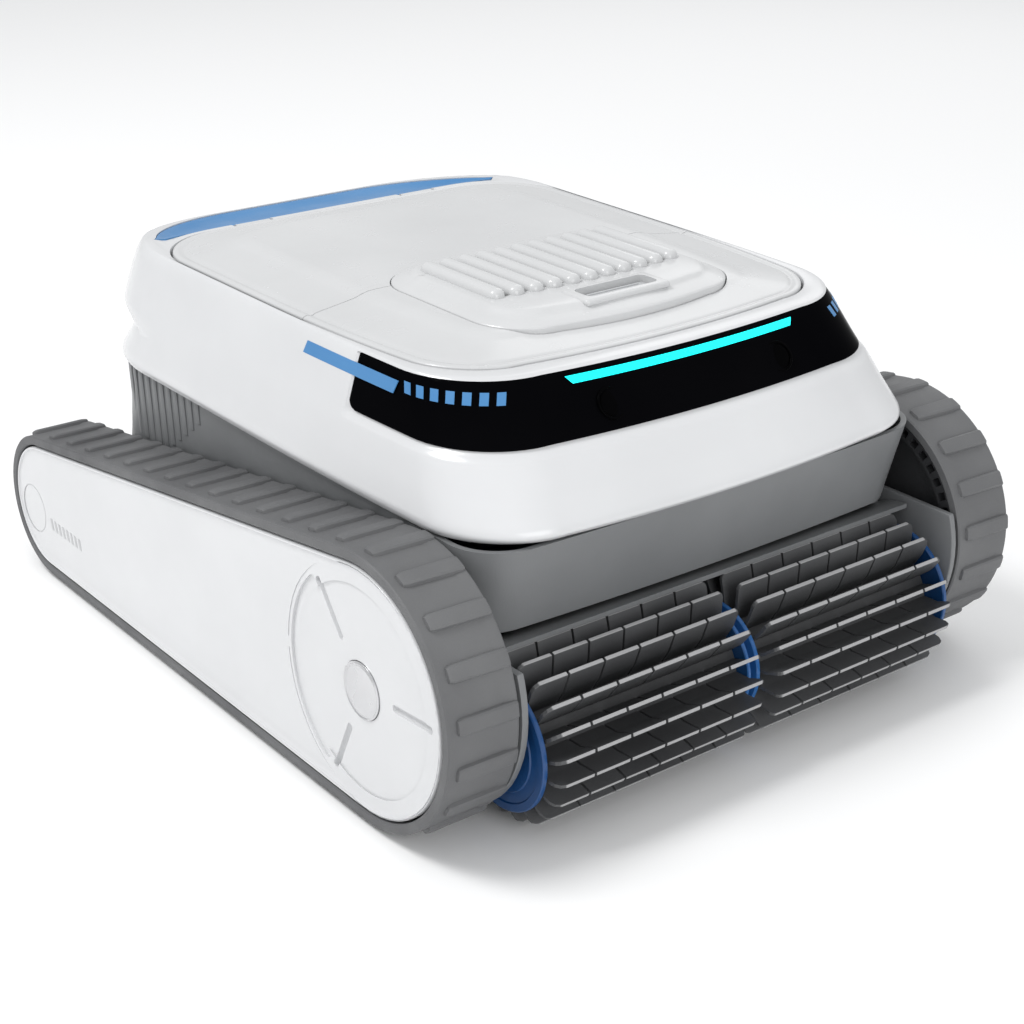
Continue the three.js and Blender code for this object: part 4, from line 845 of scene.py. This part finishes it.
# Cross-section of the belt: across from its inner edge, out from the wheel.
BELT_SECTION = [
    (0.8, 0), (0, 0.8), (0, 5), (0.8, 5.8), (8, 5.8), (33.5, 5.8), (36.5, 6.4),
    (40.6, 6.4), (41.5, 5.5), (41.5, 0.8), (40.7, 0),
]
LUG_COUNT = 43
outer_loop = track_loop(5.8)
outer_lengths = loop_lengths(outer_loop)
first = min(range(len(outer_loop)), key=lambda i: abs(math.atan2(
    outer_loop[i][1] - FRONT_Z, outer_loop[i][0] - FRONT_Y) - math.radians(170.7)))
for side, word in ((1, "right"), (-1, "left")):
    move = 0 if side == 1 else -(BELT_X0 + BELT_X1)
    rings = []
    for x, out in BELT_SECTION:
        rings.append([(BELT_X0 + x + move, y, z) for y, z, *_ in track_loop(out)])
    belt = grid(f"drive_belt_rubber_{word}", rings, wrap=True, close=True)
    lugs = []
    for n in range(LUG_COUNT):
        centre = outer_lengths[first] + n * outer_lengths[-1] / LUG_COUNT
        # Across the lug: place from the inner edge, half its length at the root, height, lag.
        section = [(5, 0.6, -0.4, 0), (5.6, 3.4, 1.7, 0), (8, 4.3, 2.5, 0), (30, 4.6, 2.5, 0.6),
                   (38, 4.7, 2.5, 0.9), (40.2, 4.5, 2.1, 1.0), (41, 3.6, 0.4, 1.0)]
        rows = []
        for across, half, height, lag in section:
            row = []
            for t, h in ((-1, -0.6), (-0.86, 0.7), (-0.66, 1), (0, 1.02), (0.66, 1), (0.86, 0.7), (1, -0.6)):
                y, z, ny, nz = along(outer_loop, outer_lengths, centre + lag + t * (half + 0.5))
                rise = max(-0.6, height * h) if h > 0 else -0.6
                row.append((BELT_X0 + across + move, y + ny * rise, z + nz * rise))
            rows.append(row)
        lugs.append(grid(f"lug_{n}", rows, ends=True))
    joined([belt, *lugs], f"drive_belt_rubber_{word}")
    finish(belt, RUBBER, "hull", angle=28, stands_for=[f"drive_belt_{word}"])

# ---------------------------------------------------------------- side panels with their hub caps
# Glossy white covers clipped over the tracks, each with a thin raised lip along its whole edge.
# A wheel disc is drawn in relief at the front: three spoke slots, a hooked groove and a spun hub cap.
WHITE_PANEL = moulded("white_gloss_panel", (0.62, 0.625, 0.635), (0.67, 0.675, 0.685), 0.22, grain=0.02, coat=0.3)
SPUN = moulded("spun_metal", (0.52, 0.52, 0.53), (0.68, 0.68, 0.69), 0.26, grain=0.05, metal=0.9)
# Grey for painted shade: the thin strokes and the fine ring on the side covers stand in for the shadows in small
# recesses.
SHADOW_GREY = moulded("painted_groove_shade_grey", (0.42, 0.425, 0.43), (0.5, 0.505, 0.51), 0.4, grain=0.05)
DISC_Y, DISC_Z = -160.8, 76.8


def arc_cutter(radius0, radius1, start, end, x0, x1, name="arc_cutter"):
    """A curved bar round the disc's centre with rounded tips, cut from the panel's face."""
    middle, half = (radius0 + radius1) / 2, (radius1 - radius0) / 2
    loop = []
    for i in range(49):
        a = math.radians(start + (end - start) * i / 48)
        loop.append((DISC_Y + radius1 * math.cos(a), DISC_Z + radius1 * math.sin(a)))
    a = math.radians(end)
    for i in range(1, 12):
        t = math.radians(end + 180 * i / 12)
        loop.append((DISC_Y + middle * math.cos(a) + half * math.cos(t),
                     DISC_Z + middle * math.sin(a) + half * math.sin(t)))
    for i in range(49):
        a = math.radians(end + (start - end) * i / 48)
        loop.append((DISC_Y + radius0 * math.cos(a), DISC_Z + radius0 * math.sin(a)))
    a = math.radians(start)
    for i in range(1, 12):
        t = math.radians(start + 180 + 180 * i / 12)
        loop.append((DISC_Y + middle * math.cos(a) + half * math.cos(t),
                     DISC_Z + middle * math.sin(a) + half * math.sin(t)))
    return grid(name, [[(x, y, z) for y, z in loop] for x in (x0, x1)], wrap=True, ends=True)


def turned(name, profile, y, z, around=96, ends=False):
    """A turned piece about an X axis from (radius, x) points, joined into a ring or capped at both ends."""
    rings = []
    for radius, x in profile:
        ring = []
        for i in range(around):
            a = 2 * math.pi * i / around
            ring.append((x, y + radius * math.cos(a), z + radius * math.sin(a)))
        rings.append(ring)
    return grid(name, rings, wrap=True, close=not ends, ends=ends)


for side, word in ((1, "right"), (-1, "left")):
    face = side * 200
    rings = []
    for out, x in ((-6, 186.6), (-1.6, 186.2), (-1.2, 187), (-1.2, 199), (-1.7, 199.9), (-2.6, 199.9),
                   (-3.2, 199.1), (-4.2, 198.9), (-8, 199.2), (-20, 199.5), (-30, 199.5)):
        rings.append([(side * x, y, z) for y, z, *_ in track_loop(out, steps=64)])
    panel = grid(f"side_cover_{word}", rings, wrap=True, ends=True)
    cutters = [
        arc_cutter(66.2, 67, 3, 357, face - side * 0.9, face + side * 2),
        arc_cutter(56.5, 64, -56, 47, face - side * 1.9, face + side * 2),
    ]
    cutters.append(rod(55.6, face - 1.5, face + 1.5, DISC_Y, DISC_Z, vertices=160, end_radius=57))
    for angle in (53, 175, -65):
        slot = block(27, 61, -2.1, 2.1, -4, 4)
        modify(slot, "BEVEL", width=0.0016, segments=5, limit_method="ANGLE", angle_limit=math.radians(60))
        a = math.radians(angle)
        slot.matrix_world = Matrix.Translation((face * MM, DISC_Y * MM, DISC_Z * MM)) @ Matrix(
            ((0, 0, 1, 0), (math.cos(a), -math.sin(a), 0, 0), (math.sin(a), math.cos(a), 0, 0), (0, 0, 0, 1)))
        cutters.append(slot)
    cutters.append(rod(15.8, *sorted((side * 184, side * 204)), DISC_Y, DISC_Z))
    carve(panel, *cutters)
    finish(panel, WHITE_PANEL, "hull", angle=40, stands_for=[f"side_panel_{word}"])

    profile = [(0.4, 196.2), (15.5, 196.2), (15.5, 198.2), (15.5, 199.2), (14.7, 199.6), (14.1, 199.2), (13.6, 199.1)]
    profile += [(13.2 - 0.8 * i, 199.3 + 0.12 * (i % 2)) for i in range(16)] + [(0.4, 199.4)]
    cap = turned(f"hub_cap_spun_{word}", [(r, side * x) for r, x in profile], DISC_Y, DISC_Z, ends=True)
    finish(cap, SPUN, "hull", angle=20, stands_for=[f"hub_cap_{word}"])

    # Painted shade: eight thin grey strokes and a fine grey ring laid on the cover's face stand in for the shade in
    # small recesses in the cover.
    strokes = []
    for i in range(8):
        y = 189.6 - i * 5.5
        corners = [[(side * 199.52, y + lean + s, z) for s in (0, 2.6)] for lean, z in ((0, 36.4), (1.6, 43.6))]
        stroke = grid(f"stroke_{word}_{i + 1}", corners)
        modify(stroke, "SOLIDIFY", thickness=0.0002, offset=0)
        strokes.append(stroke)
    bpy.ops.object.select_all(action="DESELECT")
    bpy.ops.mesh.primitive_torus_add(major_segments=96, minor_segments=8, major_radius=0.0156, minor_radius=0.0003,
                                     location=(side * 0.1994, 0.2166, 0.0428), rotation=(0, math.pi / 2, 0))
    ring = joined([bpy.context.object, *strokes], f"side_painted_groove_shade_{word}")
    finish(ring, SHADOW_GREY, "hull")

# ---------------------------------------------------------------- track wheels and frames
# Dark moulded wheels: the front pair is motor driven and has square tooth slots round its rim.
# The small rear pair only turns the belt round. Both turn on steel axles in the track frames.
WHEEL_DARK = moulded("wheel_dark", (0.028, 0.029, 0.031), (0.045, 0.046, 0.049), 0.4, grain=0.25)
STEEL = moulded("steel", (0.45, 0.45, 0.46), (0.6, 0.6, 0.61), 0.3, grain=0.05, metal=1.0)


for side, word in ((1, "right"), (-1, "left")):
    for place, y, z, radius in (("front", FRONT_Y, FRONT_Z, 67.9), ("rear", REAR_Y, REAR_Z, 39.9)):
        x0, x1 = 160.6, 179.4
        rim = radius - 9
        profile = [(7.05, x0), (14, x0), (15, x0 + 0.8), (15.6, x0 + 4), (rim - 1.2, x0 + 4), (rim, x0 + 0.8),
                   (rim + 0.6, x0), (radius - 0.8, x0), (radius, x0 + 0.8), (radius, x1 - 0.8),
                   (radius - 0.8, x1), (rim + 0.6, x1), (rim, x1 - 0.8), (rim - 1.2, x1 - 4),
                   (15.6, x1 - 4), (15, x1 - 0.8), (14, x1), (7.05, x1)]
        wheel = turned(f"{place}_wheel_{word}_drum", [(r, side * x) for r, x in profile], y, z, 128)
        if place == "front":
            slots = []
            for i in range(46):
                a = 2 * math.pi * i / 46
                slot = block(side * (x0 - 2), side * (x0 + 5), -2.4, 2.4, radius - 6.6, radius - 1.8)
                slot.rotation_euler.x = a
                slot.location = (0, y * MM, z * MM)
                slots.append(slot)
            carve(wheel, joined(slots, "tooth_slots"))
        inner, outer = sorted(abs(corner.x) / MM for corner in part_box(f"{place}_wheel_{word}"))
        start = 157.5 if place == "rear" else 153.5
        axle = turned("axle", [(r, side * min(max(x, inner), outer)) for r, x in (
            (0.3, start), (6.4, start), (6.98, start + 0.6), (6.98, 181), (6.4, 181.6), (0.3, 181.6))], y, z, 48)
        wheel = joined([wheel, axle], f"{place}_wheel_{word}_drum")
        finish(wheel, WHEEL_DARK, f"{place}_wheel_{word}_body", stands_for=[f"{place}_wheel_{word}"])

# ---------------------------------------------------------------- front brush
# Soft rubber roller in two halves on a steel shaft: rows of thin kinked fins, slit into fingers.
# Blue discs close its outer ends, and a double blue ring sits between the halves.
FIN = moulded("brush_rubber", (0.055, 0.056, 0.059), (0.095, 0.097, 0.1), 0.5, grain=0.35, scale=900)
DEEP_BLUE = moulded("disc_blue", (0.006, 0.05, 0.17), (0.01, 0.07, 0.22), 0.34, grain=0.06, coat=0.1)
RING_BLUE = moulded("ring_blue", (0.014, 0.09, 0.28), (0.03, 0.14, 0.38), 0.34, grain=0.06, coat=0.1)
fin_tree = FIN.node_tree
fin_place = fin_tree.nodes.new("ShaderNodeTexCoord")
from_axis = fin_tree.nodes.new("ShaderNodeVectorMath")
from_axis.operation = "SUBTRACT"
from_axis.inputs[1].default_value = (0, BRUSH_Y * MM, BRUSH_Z * MM)
across_axis = fin_tree.nodes.new("ShaderNodeVectorMath")
across_axis.operation = "MULTIPLY"
across_axis.inputs[1].default_value = (0, 1, 1)
distance = fin_tree.nodes.new("ShaderNodeVectorMath")
distance.operation = "LENGTH"
# Painted highlight: the outermost 0.4 mm of every fin crest is mixed to a light grey, standing in for the light that
# the crests catch.
crest_highlight_share = fin_tree.nodes.new("ShaderNodeMapRange")
crest_highlight_share.inputs["From Min"].default_value = 0.0458
crest_highlight_share.inputs["From Max"].default_value = 0.0462
fin_highlight_mix = fin_tree.nodes.new("ShaderNodeMix")
fin_highlight_mix.data_type = "RGBA"
fin_highlight_mix.inputs[7].default_value = (0.34, 0.34, 0.345, 1)
fin_shader = fin_tree.nodes["Principled BSDF"]
fin_tone = fin_shader.inputs["Base Color"].links[0].from_socket
fin_tree.links.new(fin_place.outputs["Object"], from_axis.inputs[0])
fin_tree.links.new(from_axis.outputs[0], across_axis.inputs[0])
fin_tree.links.new(across_axis.outputs[0], distance.inputs[0])
fin_tree.links.new(distance.outputs["Value"], crest_highlight_share.inputs["Value"])
fin_tree.links.new(crest_highlight_share.outputs["Result"], fin_highlight_mix.inputs[0])
fin_tree.links.new(fin_tone, fin_highlight_mix.inputs[6])
fin_tree.links.new(fin_highlight_mix.outputs[2], fin_shader.inputs["Base Color"])
FIN_ROWS = 21
FINGERS = 6
for side, word in ((1, "right"), (-1, "left")):
    low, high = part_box(f"brush_sleeve_{word}")
    near, far = sorted((abs(low.x) / MM, abs(high.x) / MM))
    width = (far - near) / FINGERS
    fingers = []
    for n in range(FINGERS):
        start, stop = near + n * width + 0.7, near + (n + 1) * width - 0.7
        inner_cut = 2.6 if n == 0 else 0.5
        outer_cut = 4.5 if n == FINGERS - 1 else 0.5
        rows = []
        for x, drop in ((start, inner_cut), (start + inner_cut * 0.3, inner_cut * 0.35), (start + inner_cut, 0),
                        (stop - outer_cut, 0), (stop - outer_cut * 0.3, outer_cut * 0.35), (stop, outer_cut)):
            tip = 46.2 - drop
            lean = 3.4 * (tip - 34) / 12
            rows.append([(side * x, t, r) for t, r in (
                (-1.1, 23), (-0.8, 33), (-0.6, 34.6), (lean - 1.0, tip - 0.2), (lean - 0.7, tip),
                (lean + 0.7, tip), (lean + 1.0, tip - 0.2), (0.9, 34), (1.0, 32), (1.3, 23))])
        fingers.append(grid(f"finger_{n}", rows, wrap=True, ends=True))
    fins = joined(fingers, "fins")
    bpy.ops.object.select_all(action="DESELECT")
    bpy.ops.object.empty_add(rotation=(2 * math.pi / FIN_ROWS, 0, 0))
    turn = bpy.context.object
    modify(fins, "ARRAY", count=FIN_ROWS, use_relative_offset=False, use_object_offset=True, offset_object=turn)
    bpy.data.objects.remove(turn)
    fins.location = (0, BRUSH_Y * MM, BRUSH_Z * MM)
    bpy.ops.object.select_all(action="DESELECT")
    fins.select_set(True)
    bpy.context.view_layer.objects.active = fins
    bpy.ops.object.transform_apply(location=True, rotation=True, scale=True)
    tube = turned("tube", [(20, side * near), (23.6, side * near), (24, side * (near + 0.5)),
                           (24, side * (far - 0.5)), (23.6, side * far), (20, side * far)], BRUSH_Y, BRUSH_Z)
    sleeve = joined([fins, tube], f"brush_sleeve_{word}_fins")
    finish(sleeve, FIN, "brush", angle=24, stands_for=[f"brush_sleeve_{word}"])

    low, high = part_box(f"brush_disc_{word}")
    x0, x1 = sorted((abs(low.x) / MM, abs(high.x) / MM))
    disc = turned(f"brush_disc_{word}_cover", [(r, side * x) for r, x in (
        (6.5, x0), (36.9, x0), (37.5, x0 + 0.6), (37.5, x1 - 0.6), (36.9, x1), (33, x1), (32.4, x1 - 0.7),
        (27, x1 - 0.7), (26.4, x1), (13, x1), (12.4, x1 - 0.9), (6.5, x1 - 0.9))], BRUSH_Y, BRUSH_Z)
    finish(disc, DEEP_BLUE, "brush", stands_for=[f"brush_disc_{word}"])

low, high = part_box("brush_ring")
half = high.x / MM
radius = (high.z - low.z) / 2 / MM - 1
middle_ring = turned("brush_middle_ring", [
    (20.6, -half), (radius - 0.5, -half), (radius, -half + 0.5), (radius, -half + 2), (radius - 0.5, -half + 2.5),
    (26, -half + 2.7), (26, half - 2.7), (radius - 0.5, half - 2.5), (radius, half - 2),
    (radius, half - 0.5), (radius - 0.5, half), (20.6, half)], BRUSH_Y, BRUSH_Z)
finish(middle_ring, RING_BLUE, "brush", stands_for=["brush_ring"])

low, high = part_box("brush_core")
reach = high.x / MM
core_half = 143
core = turned("brush_core_shaft", [
    (0.3, -reach), (5.4, -reach), (5.95, -reach + 0.6), (5.95, -core_half), (18.8, -core_half),
    (19.4, -core_half + 0.6),
    (19.4, core_half - 0.6), (18.8, core_half), (5.95, core_half), (5.95, reach - 0.6), (5.4, reach), (0.3, reach)],
    BRUSH_Y, BRUSH_Z)
finish(core, STEEL, "brush", stands_for=["brush_core"])


def refined(node, name, material, body, bevel=0.5, angle=35):
    """A copy of a plain part with its facets merged and its edges softened."""
    source = bpy.data.objects[node]
    piece = bpy.data.objects.new(name, source.data.copy())
    bpy.context.collection.objects.link(piece)
    piece.matrix_world = source.matrix_world.copy()
    bpy.ops.object.select_all(action="DESELECT")
    piece.select_set(True)
    bpy.context.view_layer.objects.active = piece
    bpy.ops.object.mode_set(mode="EDIT")
    bpy.ops.mesh.select_all(action="SELECT")
    bpy.ops.mesh.remove_doubles(threshold=2e-6)
    bpy.ops.mesh.dissolve_limited(angle_limit=math.radians(0.6))
    bpy.ops.mesh.normals_make_consistent(inside=False)
    bpy.ops.object.mode_set(mode="OBJECT")
    if bevel:
        modify(piece, "BEVEL", width=bevel * MM, segments=2, limit_method="ANGLE", angle_limit=math.radians(48))
    return finish(piece, material, body, angle=angle, stands_for=[node])


for word in ("right", "left"):
    refined(f"brush_bracket_{word}", f"brush_guard_{word}", TUB_GREY, "hull", bevel=0.7)
    refined(f"track_frame_{word}", f"track_beam_{word}", WHEEL_DARK, "hull")

# ---------------------------------------------------------------- working parts inside the hull
# Sealed battery, controls, pump and drive motors bolted to the tub, with a lift-out filter basket.
# The intake flap under them closes by its own weight. The button and the inlet cap sit at the rear.
BATTERY_WRAP = moulded("battery_wrap", (0.035, 0.05, 0.075), (0.055, 0.075, 0.1), 0.35, grain=0.1)
BASKET_MESH = moulded("basket_plastic", (0.16, 0.175, 0.19), (0.21, 0.225, 0.24), 0.45, grain=0.3)
MOTOR_CASE = moulded("motor_case", (0.2, 0.2, 0.205), (0.28, 0.28, 0.29), 0.35, grain=0.1, metal=0.7)
FLAP_GREY = moulded("flap_grey", (0.09, 0.092, 0.095), (0.12, 0.122, 0.126), 0.5, grain=0.3)
for node, name, material, body, slot, bevel in (
    ("battery_pack", "battery_case", BATTERY_WRAP, "hull", "inner_grey", 1.2),
    ("pump_housing", "pump_tube", INNER_GREY, "hull", "inner_grey", 0.5),
    ("pump_motor", "pump_motor_case", MOTOR_CASE, "hull", "steel", 0.6),
    ("impeller", "impeller_blades", WHEEL_DARK, "pump_impeller", "wheel_dark", 0.3),
    ("filter_basket", "filter_basket_frame", BASKET_MESH, "hull", "inner_grey", 0.5),
    ("drive_motor_right", "drive_motor_case_right", MOTOR_CASE, "hull", "steel", 0.6),
    ("drive_motor_left", "drive_motor_case_left", MOTOR_CASE, "hull", "steel", 0.6),
    ("control_box", "control_housing", FLAP_GREY, "hull", "inner_grey", 0.8),
    ("hinge_pin_right", "hinge_axis_right", STEEL, "hull", "steel", 0.2),
    ("hinge_pin_left", "hinge_axis_left", STEEL, "hull", "steel", 0.2),
    ("intake_flap", "intake_flap_plate", FLAP_GREY, "intake_door", "inner_grey", 0.4),
    ("power_button", "power_button_cap", BLUE, "button", "handle_blue", 0.5),
    ("charge_cap", "charge_inlet_cap", TUB_GREY, "port_cap", "tub_grey", 0.5),
):
    refined(node, name, material, body, bevel)
